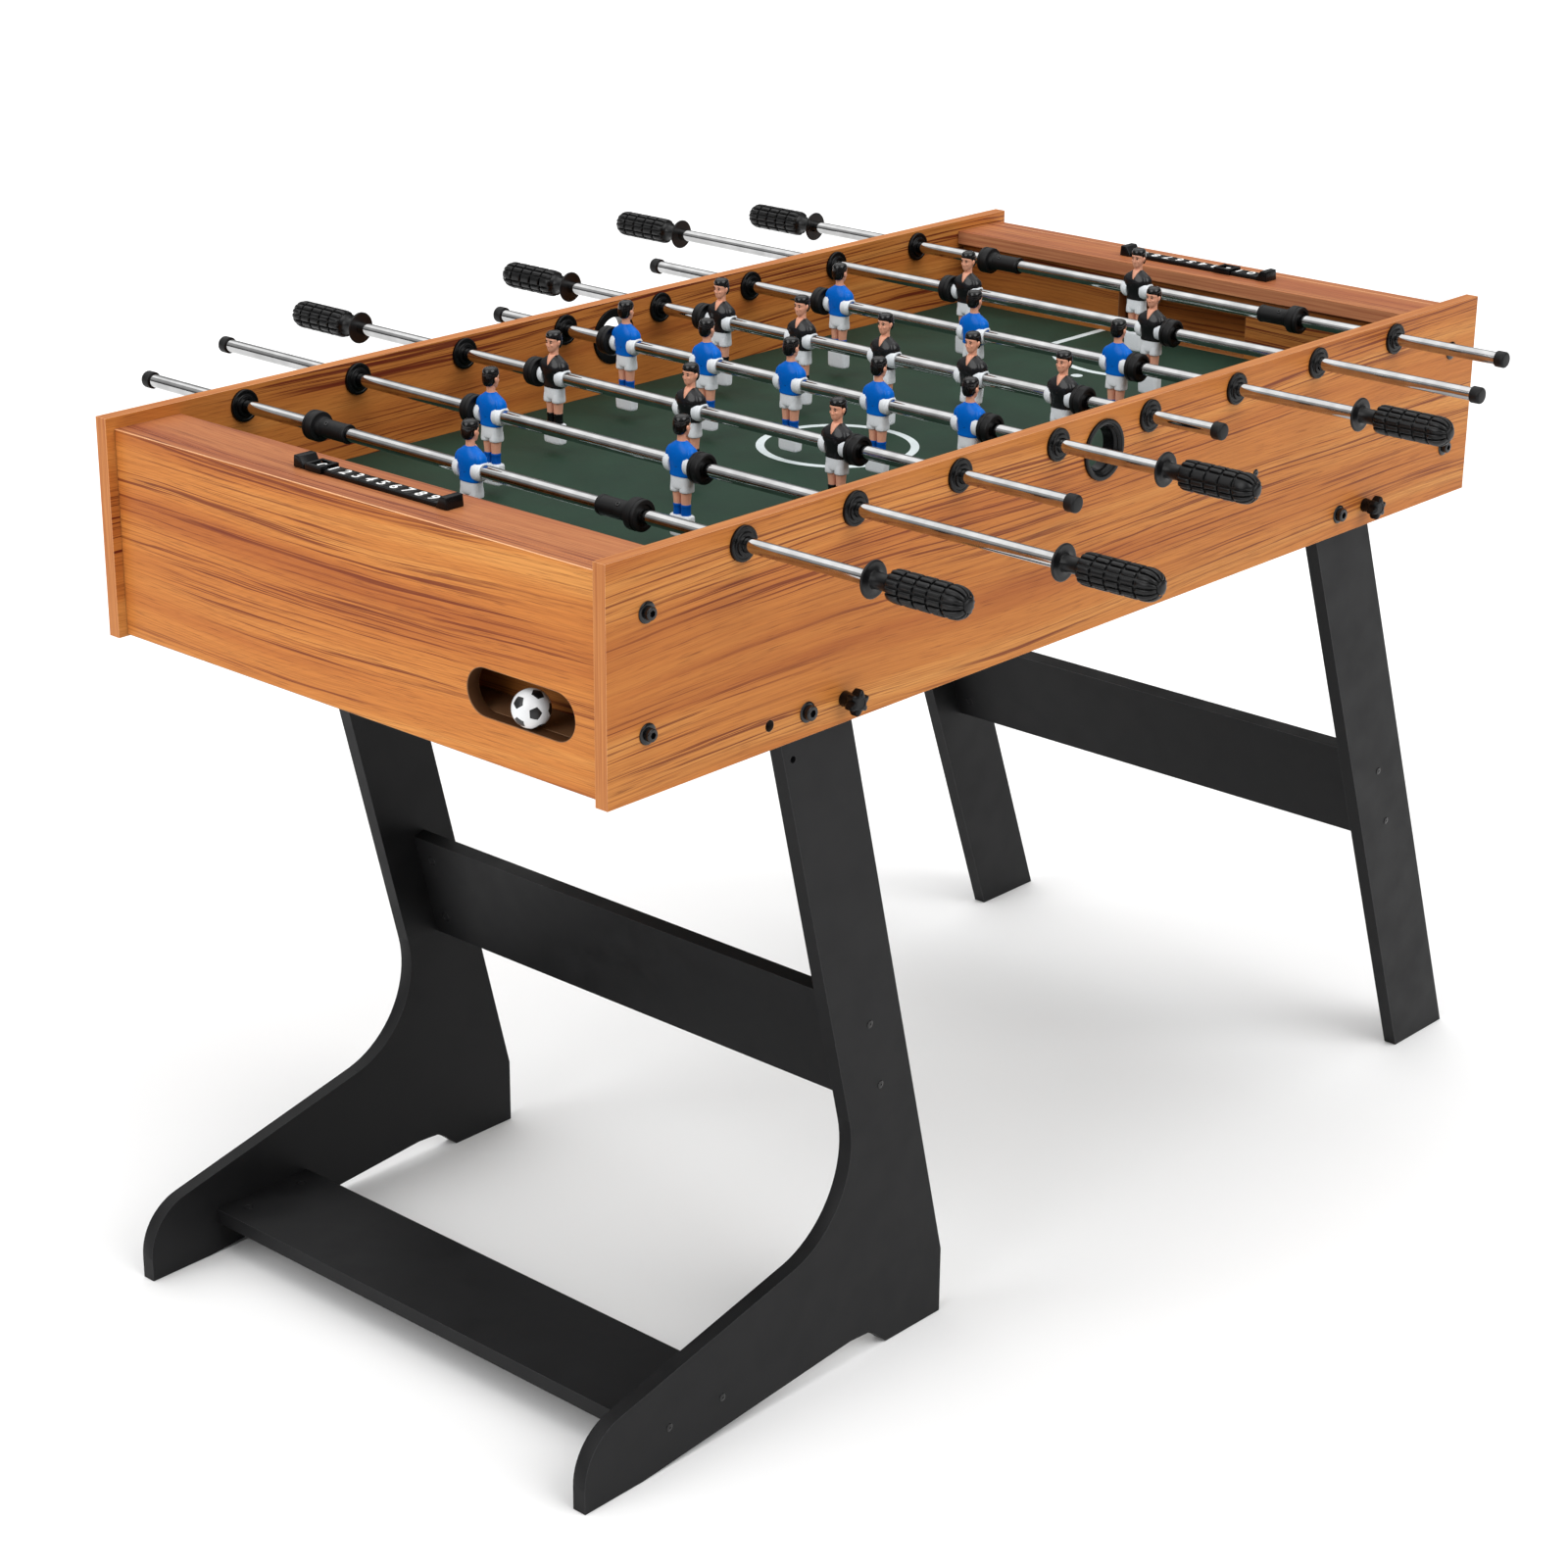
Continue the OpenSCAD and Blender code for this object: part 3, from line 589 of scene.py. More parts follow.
def build_entry_cups():
    """Flanged sleeve with a stepped, sloping mouth on the outside."""
    low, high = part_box("entry_cups")
    z = (low.z + high.z) / 2
    outer = OUTER_Y / MM
    wall = WALL_Y / MM
    profile = [(19.0, wall - 1.6), (19.6, wall - 2.0), (26.4, wall - 2.0)]
    profile += arc(26.5, wall - 1.1, 0.9, -90, 0, 3) + [(27.4, wall), (21.0, wall), (21.0, outer)]
    profile += [(27.4, outer), (27.4, outer + 1.4)] + arc(26.0, outer + 1.5, 1.4, 0, 90, 4)
    profile += [(23.8, outer + 2.7), (23.4, outer + 1.9), (22.4, outer + 1.5), (20.4, outer - 1.6),
                (19.6, outer - 2.4), (19.1, outer - 3.4)]
    bm = bmesh.new()
    for side in (-1, 1):
        lathe(bm, profile, 72, 0, outward(side, MIDDLE_X, z), close=True)
    obj = finish_mesh("entry_cup_mouldings", bm, [M["plastic_black"]], 28)
    stand_in(obj, "entry_cups", "cabinet")


def socket_head(bm, matrix, washer_r, head_r, head_h):
    """Dished washer and a round head with a six-sided recess. Z is outward, from the panel's face."""
    lathe(bm, [(0, 0.05), (washer_r - 0.3, 0.05), (washer_r, 0.35), (washer_r - 0.2, 0.9),
               (washer_r - 1.0, 1.4), (head_r - 0.5, 1.5)], 40, 0, matrix)
    top = 1.5 + head_h
    profile = [(head_r - 0.6, 1.45), (head_r, 1.9), (head_r, top - 1.2)]
    profile += arc(head_r - 1.0, top - 1.0, 1.0, 0, 90, 3)
    rings = lathe(bm, profile, 36, 0, matrix)
    # Recess: the flat top runs in to a hexagon, which goes down to a floor
    hexagon = []
    for k in range(36):
        a = 2 * math.pi * k / 36
        facet = (a + math.pi / 6) % (math.pi / 3) - math.pi / 6
        radius = head_r * 0.46 / math.cos(facet)
        hexagon.append((radius * math.cos(a), radius * math.sin(a)))
    rim = [bm.verts.new(matrix @ Vector((x, y, top))) for x, y in hexagon]
    floor = [bm.verts.new(matrix @ Vector((x, y, top - head_h * 0.6))) for x, y in hexagon]
    bridge(bm, rings[-1], rim)
    bridge(bm, rim, floor)
    bm.faces.new(floor)


def round_screw(bm, matrix, radius, height):
    """Low domed head with a round recess, Z outward."""
    profile = [(0, 0.02), (radius, 0.02), (radius, height * 0.35)]
    profile += [(radius * math.cos(a), height * (0.35 + 0.65 * math.sin(a))) for a in (0.35, 0.7, 1.05)]
    profile += [(radius * 0.25, height * 0.985), (radius * 0.22, height * 0.5), (0, height * 0.45)]
    lathe(bm, profile, 20, 0, matrix)


def clusters(node):
    """Lowest and highest corners of each separate solid of a CAD node."""
    mesh = frame["nodes"][node].data
    bm = bmesh.new()
    bm.from_mesh(mesh)
    bmesh.ops.remove_doubles(bm, verts=bm.verts, dist=1e-5)
    boxes, seen = [], set()
    for start in bm.verts:
        if start in seen:
            continue
        group, stack = [], [start]
        seen.add(start)
        while stack:
            v = stack.pop()
            group.append(v.co.copy())
            for e in v.link_edges:
                other = e.other_vert(v)
                if other not in seen:
                    seen.add(other)
                    stack.append(other)
        boxes.append((Vector(min(c[k] for c in group) for k in range(3)),
                      Vector(max(c[k] for c in group) for k in range(3))))
    bm.free()
    return boxes


def bolt_place(low, high):
    """Of a bolt along Y: its side, its axis's x and z, and how near the middle and how far out it
    reaches."""
    side = 1 if low.y > 0 else -1
    inner, reach = sorted((abs(low.y), abs(high.y)))
    return side, (low.x + high.x) / 2, (low.z + high.z) / 2, inner, reach


SMALL_HEAD = 10 * MM    # the panel screws' heads are narrower, the bolts' washers wider
PIVOT_DEPTH = 16 * MM   # only the pivot bolts go deeper than this inside the panel


def build_cabinet_bolts():
    """End bolts, pivot bolts with their nuts, and small panel screws."""
    bm = bmesh.new()
    nuts = bmesh.new()
    for low, high in clusters("cabinet_bolts"):
        side, x, z, inner, reach = bolt_place(low, high)
        washer = high.x - low.x
        face = outward(side, x, z, side * OUTER_Y)
        if washer < SMALL_HEAD:
            round_screw(bm, face, 4.0, 1.15)
            continue
        is_pivot = inner < WALL_Y - PIVOT_DEPTH
        head_r = 6.4 if is_pivot else 5.5
        turn = Matrix.Rotation(x * 37.0 + z * 91.0, 4, "Z")
        socket_head(bm, face @ turn, washer / MM / 2 - 0.05, head_r, (reach - OUTER_Y) / MM - 1.55)
        if is_pivot:
            end = inner / MM
            nut_face = end + 1.6
            here = outward(side, x, z)
            prism(nuts, arc(0, 0, 7.4, 0, 300, 5), nut_face, nut_face + 6.2, here)
            lathe(nuts, [(0, end), (3.6, end), (4.0, end + 0.5), (4.0, nut_face)], 24, 0, here)
    bmesh.ops.bevel(nuts, geom=sharp_edges(nuts, 50, 5 * MM), offset=0.4 * MM, segments=2,
                    profile=0.5, affect="EDGES")
    heads = finish_mesh("bolt_heads", bm, [M["bolt_black"]])
    stand_in(heads, "cabinet_bolts", "cabinet")
    inside = finish_mesh("pivot_nuts", nuts, [M["bolt_black"]])
    go_with(inside, "cabinet")


def build_leg_screws():
    """Low heads on the legs' outer faces."""
    for node, body in (("stand_screws", "stand"), ("far_leg_screws", "far_legs")):
        bm = bmesh.new()
        for low, high in clusters(node):
            side, x, z, _, reach = bolt_place(low, high)
            face = outward(side, x, z, side * (reach - 0.9 * MM))
            round_screw(bm, face, 3.7, 0.88)
        obj = finish_mesh(node + "_heads", bm, [M["bolt_black"]])
        stand_in(obj, node, body)


def knob_outline(radius, lobes, depth, steps):
    """Round outline with lobes, depth from their crests to the hollows."""
    return [((radius - depth / 2 + depth / 2 * math.cos(lobes * a)) * math.cos(a),
             (radius - depth / 2 + depth / 2 * math.cos(lobes * a)) * math.sin(a))
            for a in (2 * math.pi * k / steps for k in range(steps))]


def build_knobs():
    """Six-lobed star head on a tapered neck, with a steel stud."""
    steps = 96
    for node in ("knob_near_right", "knob_near_left", "knob_far_right", "knob_far_left"):
        side, x, z, _, reach = bolt_place(*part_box(node))
        matrix = outward(side, x, z) @ Matrix.Rotation(0.3, 4, "Z")
        bm = bmesh.new()
        stud = WALL_Y / MM + 0.1
        base = OUTER_Y / MM + 0.35
        neck = base + 9.0
        top = reach / MM
        # Radius, depth of the lobes and height
        layers = [
            (0.0, 0, base), (6.6, 0, base), (6.8, 0, base + 0.6), (6.0, 0, neck - 3.0),
            (6.6, 0.2, neck - 1.0), (9.4, 2.6, neck), (11.0, 4.0, neck + 1.0),
            (11.35, 4.4, neck + 2.4), (11.35, 4.4, top - 2.8), (10.9, 4.1, top - 1.5),
            (9.6, 3.2, top - 0.6), (7.4, 1.4, top - 0.1), (4.6, 0.2, top - 0.05),
            (4.2, 0, top - 0.5), (0.0, 0, top - 0.55),
        ]
        rings = []
        for radius, depth, height in layers:
            if radius == 0:
                rings.append([bm.verts.new(matrix @ Vector((0, 0, height)))])
            else:
                rings.append([bm.verts.new(matrix @ Vector((px, py, height)))
                              for px, py in knob_outline(radius, 6, depth, steps)])
        for below, above in zip(rings, rings[1:]):
            bridge(bm, below, above)
        lathe(bm, [(0, stud), (2.6, stud), (2.95, stud + 0.5), (2.95, base)], 24, 1, matrix)
        obj = finish_mesh(node + "_star", bm, [M["plastic_black"], M["bolt_black"]], 32)
        stand_in(obj, node, node)


# ---------------------------------------------------------------- rods

GRIP_L = 94.5
CAP_L = 10.0


def grip_mesh(length, neck_to):
    """Grip along +Z from its flange: five rings of pads parted by grooves, and a domed end.
    length is the whole grip, neck_to where the pads start, in mm."""
    bm = bmesh.new()
    core, face = 11.0, 13.2
    dome = length - 13.0
    profile = [(0, 0.1), (6.2, 0.1), (13.6, 0.0)] + arc(14.1, 1.1, 1.1, -90, 90, 5)
    profile += [(12.6, 2.1), (8.6, 2.3), (7.4, 3.0), (6.9, 4.6), (6.7, 9.0), (6.8, neck_to - 3.0),
                (7.6, neck_to - 1.0), (9.4, neck_to), (core, neck_to + 1.4), (core, dome)]
    profile += [(core * math.cos(a), dome + (core - 0.4) * math.sin(a))
                for a in (0.3, 0.6, 0.9, 1.2, 1.45)]
    lathe(bm, profile + [(0, length - 1.4)], 64)
    # Pads around: wide ones on two opposite faces, narrow ribs between them, gaps of twice gap
    gap = 3.9
    widths = ([44] + [27] * 5) * 2
    spans = []
    turn = -22.0
    for width in widths:
        share = width * 360 / sum(widths)
        spans.append((math.radians(turn + gap), math.radians(turn + share - gap)))
        turn += share
    ring_l = 13.7
    dome_from = neck_to + 5 * ring_l - 9.0
    for ring in range(5):
        first, last = ring == 0, ring == 4
        z0 = neck_to + 0.4 + ring * ring_l + (0.0 if first else 0.8)
        z1 = length - 2.2 if last else neck_to + (ring + 1) * ring_l - 0.8
        for a0, a1 in spans:
            pad(bm, a0, a1, z0, z1, core - 0.5, face, dome_from if last else None, length, first)
    # Smooth button on the tip
    lathe(bm, [(0, length - 3.0), (5.6, length - 3.0), (5.4, length - 1.2), (4.2, length - 0.35),
               (2.2, length - 0.05), (0, length)], 40)
    return bm


def dome_radius(z, face, start, length):
    """Outer radius over the rounded end of a grip."""
    if start is None or z <= start:
        return face
    t = min(1.0, (z - start) / (length - start))
    return face * math.sqrt(max(0.0, 1 - t ** 2.3))


def pad(bm, a0, a1, z0, z1, low_r, face, dome_from, length, first):
    """One raised pad with rounded edges, on a curved grid. The first ring's slope to the neck."""
    across = 6
    along = 14 if dome_from is not None else 6
    edge, edge_drop = 0.9, 0.75
    slope_l, slope_drop = 5.0, 1.1
    rows = []
    for j in range(along + 1):
        t = j / along
        z = z0 + (z1 - z0) * (0.5 - 0.5 * math.cos(math.pi * t) if dome_from is None else t)
        row = []
        for k in range(across + 1):
            s = 0.5 - 0.5 * math.cos(math.pi * k / across)
            angle = a0 + (a1 - a0) * s
            radius = dome_radius(z, face, dome_from, length)
            from_side = min(s, 1 - s) * (a1 - a0) * radius
            from_end = min(z - z0, z1 - z)
            drop = sum(max(0.0, 1 - d / edge) ** 2 * edge_drop for d in (from_side, from_end))
            if first:
                drop += max(0.0, 1 - (z - z0) / slope_l) ** 2 * slope_drop
            radius = max(radius - drop, 1.2)
            row.append(bm.verts.new((radius * math.cos(angle), radius * math.sin(angle), z)))
        rows.append(row)
    base = []
    for j in range(along + 1):
        z = rows[j][0].co.z
        radius = max(min(low_r, dome_radius(z, face, dome_from, length) - 1.3), 0.8)
        base.append([bm.verts.new((radius * math.cos(a), radius * math.sin(a), z))
                     for a in (a0 + (a1 - a0) * k / across for k in range(across + 1))])
    rings = [row + under[::-1] for row, under in zip(rows, base)]
    for low, high in zip(rings, rings[1:]):
        bridge(bm, low, high)
    for row, under in ((rows[0], base[0]), (rows[-1], base[-1])):
        for k in range(across):
            bm.faces.new((row[k], row[k + 1], under[k + 1], under[k]))


def cap_profile(length):
    """Profile of the rubber cap on a rod's end."""
    profile = [(6.1, 0.0), (7.2, 0.0)] + arc(7.2, 0.5, 0.5, -90, 0, 2)
    profile += [(7.7, length - 2.6)] + arc(5.5, length - 2.2, 2.2, 0, 90, 4) + [(0, length - 0.05)]
    return profile


def build_grips():
    """The grip, and the rubber cap at the rod's other end."""
    for i in RODS:
        side = GRIP_SIDE[i]
        low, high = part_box(f"grip_{i}")
        tip, cap_tip = (high.y, low.y) if side > 0 else (low.y, high.y)
        x, z = rod_axis(i)
        flange_y = abs(tip) / MM - GRIP_L
        bm = grip_mesh(GRIP_L, 20.5)
        turn = Matrix.Rotation(math.radians(38 * i), 4, "Z")
        bmesh.ops.transform(bm, verts=bm.verts, matrix=outward(side, x, z, side * flange_y * MM) @ turn)
        matrix = outward(-side, x, z, cap_tip + side * CAP_L * MM)
        lathe(bm, cap_profile(CAP_L), 40, 1, matrix)
        lathe(bm, [(6.1, 0.0), (6.05, 1.0), (0, 1.0)], 40, 1, matrix)
        obj = finish_mesh(f"grip_{i}_ribbed", bm, [M["grip_black"], M["rubber_black"]], 40)
        stand_in(obj, f"grip_{i}", f"rod_{i}_turning")


def keeper_collar(outer, band):
    """Profile of a stop collar with a sleeve toward the keeper."""
    inner = outer - band
    sleeve = inner - 36.0
    profile = [(6.1, sleeve), (7.6, sleeve)] + arc(7.9, sleeve + 0.5, 0.5, -90, 0, 2)
    profile += [(8.6, sleeve + 1.0), (8.6, sleeve + 3.0), (8.2, sleeve + 3.6), (8.2, inner - 6)]
    profile += [(9.2, inner - 5), (9.6, inner - 0.6), (11.8, inner)]
    profile += arc(12.2, inner + 1.2, 1.2, -90, 0, 3) + [(13.4, outer - 4.6)]
    profile += [(12.6, outer - 4.0), (12.6, outer - 3.4), (13.3, outer - 2.8)]
    profile += arc(12.1, outer - 1.2, 1.2, 0, 90, 3)
    return profile + [(9.6, outer), (8.8, outer - 1.6), (6.1, outer - 1.6)]


def stop_ring(outer, band):
    """Profile of a grooved rubber ring."""
    inner = outer - band
    profile = [(6.1, inner + 0.05), (12.4, inner + 0.05)]
    profile += arc(12.5, inner + 1.05, 1.0, -90, 0, 3) + [(13.5, inner + 3.6), (12.7, inner + 4.2)]
    profile += [(12.7, inner + 4.8), (13.3, inner + 5.4), (13.3, outer - 2.4)]
    profile += arc(11.3, outer - 2.0, 2.0, 0, 90, 4)
    return profile + [(9.6, outer), (9.0, outer - 2.2), (7.4, outer - 2.6), (6.1, outer - 2.6)]


def build_bumpers():
    """Rubber stop rings beside the outermost men; stop collars with sleeves on the keepers' rods."""
    band = 12.0
    for i in RODS:
        x, z = rod_axis(i)
        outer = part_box(f"bumpers_{i}")[1].y / MM
        bm = bmesh.new()
        for side in (-1, 1):
            if MEN_ON[i] > 1:
                lathe(bm, stop_ring(outer, band), 52, 0, outward(side, x, z), close=True)
                continue
            lathe(bm, keeper_collar(outer, band), 52, 0, outward(side, x, z), close=True)
            screw_y = side * (outer - 2 * band) * MM
            screw = at(x, screw_y, z) @ Matrix.Rotation(math.radians(-40), 4, "Y")
            lathe(bm, [(0, 7.0), (2.2, 7.0), (2.2, 8.45), (1.9, 8.7), (1.1, 8.7), (0.9, 8.1), (0, 8.1)],
                  20, 1, screw @ Matrix.Scale(MM, 4))
        obj = finish_mesh(f"bumpers_{i}_rubber", bm, [M["rubber_black"], M["bolt_black"]], 30)
        stand_in(obj, f"bumpers_{i}", f"rod_{i}_carriage")


# ---------------------------------------------------------------- men

def spline(points, steps):
    """Catmull-Rom through rows of numbers, with steps between each two."""
    out = []
    padded = [points[0], *points, points[-1]]
    for p0, p1, p2, p3 in zip(padded, padded[1:], padded[2:], padded[3:]):
        for k in range(steps):
            t = k / steps
            out.append([0.5 * (2 * b + (c - a) * t + (2 * a - 5 * b + 4 * c - d) * t * t
                               + (3 * b - a - 3 * c + d) * t ** 3) for a, b, c, d in zip(p0, p1, p2, p3)])
    out.append(list(points[-1]))
    return out


def loft(bm, mat, around, steps, rings, side=1):
    """Closed skin through level rings, each (z, centre x, centre y, half depth, half width, squareness).
    A ring with no squareness is round, 2. side mirrors the centres across Y."""
    levels = []
    for z, cx, cy, rx, ry, power in spline([(*ring, 2.0)[:6] for ring in rings], steps):
        level = []
        for k in range(around):
            a = 2 * math.pi * (k + 0.5) / around
            c, s = math.cos(a), math.sin(a)
            level.append(bm.verts.new((cx + rx * math.copysign(abs(c) ** (2 / power), c),
                                       side * cy + ry * math.copysign(abs(s) ** (2 / power), s), z)))
        levels.append(level)
    for low, high in zip(levels, levels[1:]):
        bridge(bm, low, high, mat)
    bm.faces.new(levels[0][::-1]).material_index = mat
    bm.faces.new(levels[-1]).material_index = mat


SHIRT, WHITE, SKIN, SOCK, HAIR, SCREW = range(6)


def man_bmesh(up, down, half):
    """A man in mm about his rod's axis, facing +X. up, down and half are his head's height,
    his foot's reach and his half width over the hubs."""
    bm = bmesh.new()
    # Shirt, with a hem that stands a little proud of the shorts
    loft(bm, SHIRT, 36, 3, [(-9.6, 0, 0, 6.4, 10.2, 2.6), (-10.2, 0, 0, 7.0, 10.9, 2.6),
        (-9.2, 0, 0, 7.4, 11.3, 2.6), (-6.0, 0, 0, 7.4, 11.2, 2.6), (-2.0, 0.1, 0, 7.8, 11.7, 2.6),
        (3.0, 0.4, 0, 8.6, 13.2, 2.6), (7.0, 0.5, 0, 8.8, 14.2, 2.5), (10.5, 0.4, 0, 8.4, 14.4, 2.4),
        (13.6, 0.1, 0, 7.4, 13.2, 2.2), (16.4, -0.1, 0, 6.2, 10.0, 2.1), (18.6, -0.2, 0, 4.9, 6.6),
        (19.8, -0.2, 0, 4.1, 4.6)])
    # Sleeve caps over the hubs
    for s in (-1, 1):
        loft(bm, SHIRT, 20, 2, [(3.6, 0, 12.2, 4.6, 1.6, 2.2), (5.0, 0, 12.4, 5.6, 2.6, 2.2),
            (8.0, 0, 12.2, 6.0, 3.5, 2.2), (11.5, 0, 11.2, 5.6, 4.0, 2.2), (14.6, 0, 9.4, 4.4, 3.5, 2.1),
            (16.2, 0, 7.9, 2.6, 2.2)], s)
        # Hub: a white dome round the rod
        hub = [(5.9, 8.0), (8.9, 8.0), (9.0, 10.6), (8.8, 12.6)] + arc(6.9, 13.0, 1.9, 10, 62, 4)
        hub += [(7.2, half - 1.0), (7.0, half - 0.25), (6.2, half), (5.9, half - 0.6)]
        lathe(bm, hub, 32, WHITE, toward(s), close=True)
    # V of the neck, on the chest
    loft(bm, SKIN, 16, 2, [(10.6, 8.05, 0, 0.5, 0.3), (12.2, 7.75, 0, 0.7, 1.0), (14.6, 6.7, 0, 1.1, 2.0),
        (17.0, 5.0, 0, 1.7, 3.0), (19.0, 3.2, 0, 2.2, 3.9), (20.2, 1.4, 0, 2.9, 4.1)])
    # Shorts, with two legs
    loft(bm, WHITE, 32, 2, [(-8.6, 0, 0, 6.7, 10.2, 2.7), (-12.0, 0, 0, 6.8, 10.4, 2.7),
        (-16.0, 0, 0, 6.9, 10.5, 2.7), (-19.4, 0, 0, 6.8, 10.4, 2.7), (-20.6, 0, 0, 6.4, 10.0, 2.7)])
    for s in (-1, 1):
        loft(bm, WHITE, 24, 2, [(-16.0, 0.2, 5.2, 6.2, 5.0, 2.5), (-20.0, 0.2, 5.3, 6.6, 5.2, 2.5),
            (-23.4, 0.2, 5.35, 6.5, 5.2, 2.5), (-24.0, 0.2, 5.3, 6.0, 4.8, 2.5)], s)
        # Leg, then sock with a cuff
        loft(bm, SKIN, 24, 2, [(-22.0, 0.2, 4.8, 4.9, 4.3, 2.2), (-26.0, 0.1, 4.7, 4.6, 4.2, 2.2),
            (-30.0, 0, 4.5, 4.3, 4.0, 2.2), (-35.6, 0, 4.4, 3.9, 3.8, 2.2)], s)
        loft(bm, SOCK, 24, 2, [(-34.6, 0, 4.4, 4.0, 3.9, 2.2), (-35.0, 0, 4.4, 4.35, 4.2, 2.2),
            (-36.8, 0, 4.4, 4.35, 4.2, 2.2), (-37.4, 0, 4.4, 4.1, 4.0, 2.2),
            (-41.0, 0, 4.4, 4.1, 4.0, 2.2), (-45.0, 0, 4.5, 4.3, 4.2, 2.2)], s)
    # Foot block
    top = 19.5 - down
    loft(bm, WHITE, 48, 3, [(-down, 0, 0, 3.6, 9.2, 4.2), (0.5 - down, 0, 0, 4.5, 10.3, 4.4),
        (1.9 - down, 0, 0, 5.1, 11.1, 4.8), (6.0 - down, 0, 0, 5.3, 11.3, 5.0),
        (14.0 - down, 0, 0, 5.4, 11.4, 5.0), (top - 1.8, 0, 0, 5.3, 11.4, 4.8),
        (top - 0.5, 0, 0, 4.9, 10.8, 4.4), (top, 0, 0, 4.0, 9.6, 4.2)])
    # Neck, head and ears
    loft(bm, SKIN, 24, 2, [(17.5, -0.4, 0, 4.3, 4.6), (20.0, -0.3, 0, 3.9, 4.1),
        (23.0, -0.3, 0, 3.8, 3.9), (27.0, -0.4, 0, 4.0, 4.2)])
    loft(bm, SKIN, 36, 3, [(22.5, 3.6, 0, 1.2, 1.4), (23.0, 3.0, 0, 2.7, 2.5, 2.1),
        (24.4, 1.9, 0, 4.5, 3.7, 2.2), (26.6, 0.9, 0, 5.9, 4.9, 2.2), (29.2, 0.4, 0, 6.6, 5.8, 2.2),
        (31.8, 0.0, 0, 6.8, 6.1, 2.2), (33.2, 0.0, 0, 7.1, 6.2, 2.3), (34.4, 0.0, 0, 7.2, 6.3, 2.3),
        (36.6, -0.1, 0, 6.9, 6.1, 2.2), (39.0, -0.1, 0, 6.0, 5.4, 2.1), (40.6, -0.2, 0, 4.2, 3.8),
        (41.2, -0.2, 0, 2.0, 1.8)])
    for s in (-1, 1):
        loft(bm, SKIN, 12, 2, [(28.4, 0.2, 5.9, 0.6, 0.5), (29.4, 0.2, 6.2, 1.2, 0.9),
            (31.4, -0.1, 6.6, 1.6, 1.0), (32.8, -0.2, 6.6, 1.4, 0.9), (33.6, -0.2, 6.3, 0.8, 0.5)], s)
        # Cheek, painted eye and brow
        loft(bm, SKIN, 14, 2, [(27.4, 4.6, 2.9, 0.9, 0.8), (28.8, 5.3, 3.0, 1.3, 1.3),
            (30.2, 5.3, 3.0, 1.1, 1.2), (31.0, 4.9, 3.0, 0.7, 0.7)], s)
        loft(bm, HAIR, 12, 2, [(31.3, 6.35, 2.4, 0.35, 0.7), (31.8, 6.5, 2.4, 0.45, 1.1),
            (32.3, 6.5, 2.4, 0.35, 0.7)], s)
        loft(bm, HAIR, 12, 2, [(33.2, 6.75, 2.6, 0.35, 1.2), (33.6, 6.85, 2.6, 0.42, 1.6),
            (34.0, 6.85, 2.6, 0.35, 1.2)], s)
    # Nose and mouth
    loft(bm, SKIN, 16, 2, [(27.6, 6.4, 0, 0.5, 0.9), (28.1, 7.0, 0, 1.1, 1.25), (29.2, 7.1, 0, 1.1, 1.0),
        (31.2, 6.8, 0, 0.8, 0.7), (33.0, 6.7, 0, 0.5, 0.6)])
    loft(bm, SKIN, 12, 2, [(25.1, 5.55, 0, 0.5, 1.0), (25.6, 5.95, 0, 0.55, 1.5),
        (26.0, 6.1, 0, 0.5, 1.0)])
    # Hair: down to the nape at the back, a full fringe over the brow
    loft(bm, HAIR, 36, 3, [(25.4, -3.9, 0, 1.6, 2.6, 2.1), (26.0, -3.4, 0, 3.2, 4.2, 2.1),
        (28.5, -2.8, 0, 4.7, 5.9, 2.2), (31.0, -2.2, 0, 5.6, 6.5, 2.2), (32.8, -1.6, 0, 6.3, 6.8, 2.2),
        (34.6, -0.9, 0, 7.0, 6.85, 2.2), (35.8, -0.3, 0, 7.45, 6.8, 2.2), (37.4, -0.1, 0, 7.5, 6.7, 2.2),
        (39.6, -0.1, 0, 6.9, 6.2, 2.1), (up - 0.9, -0.2, 0, 5.4, 4.9), (up, -0.4, 0, 2.2, 2.0)])
    # Screw that holds him to the rod, front and back
    for turn in (0, 180):
        face = Matrix.Rotation(math.radians(turn), 4, "Z") @ at(7.2 if turn == 0 else 6.9, 0, -1.0)
        lathe(bm, [(0, 0), (1.3, 0), (1.3, 0.7), (1.1, 0.85), (0.7, 0.85), (0.6, 0.4), (0, 0.4)],
              16, SCREW, face @ Matrix.Rotation(math.radians(90), 4, "Y"))
    return bm


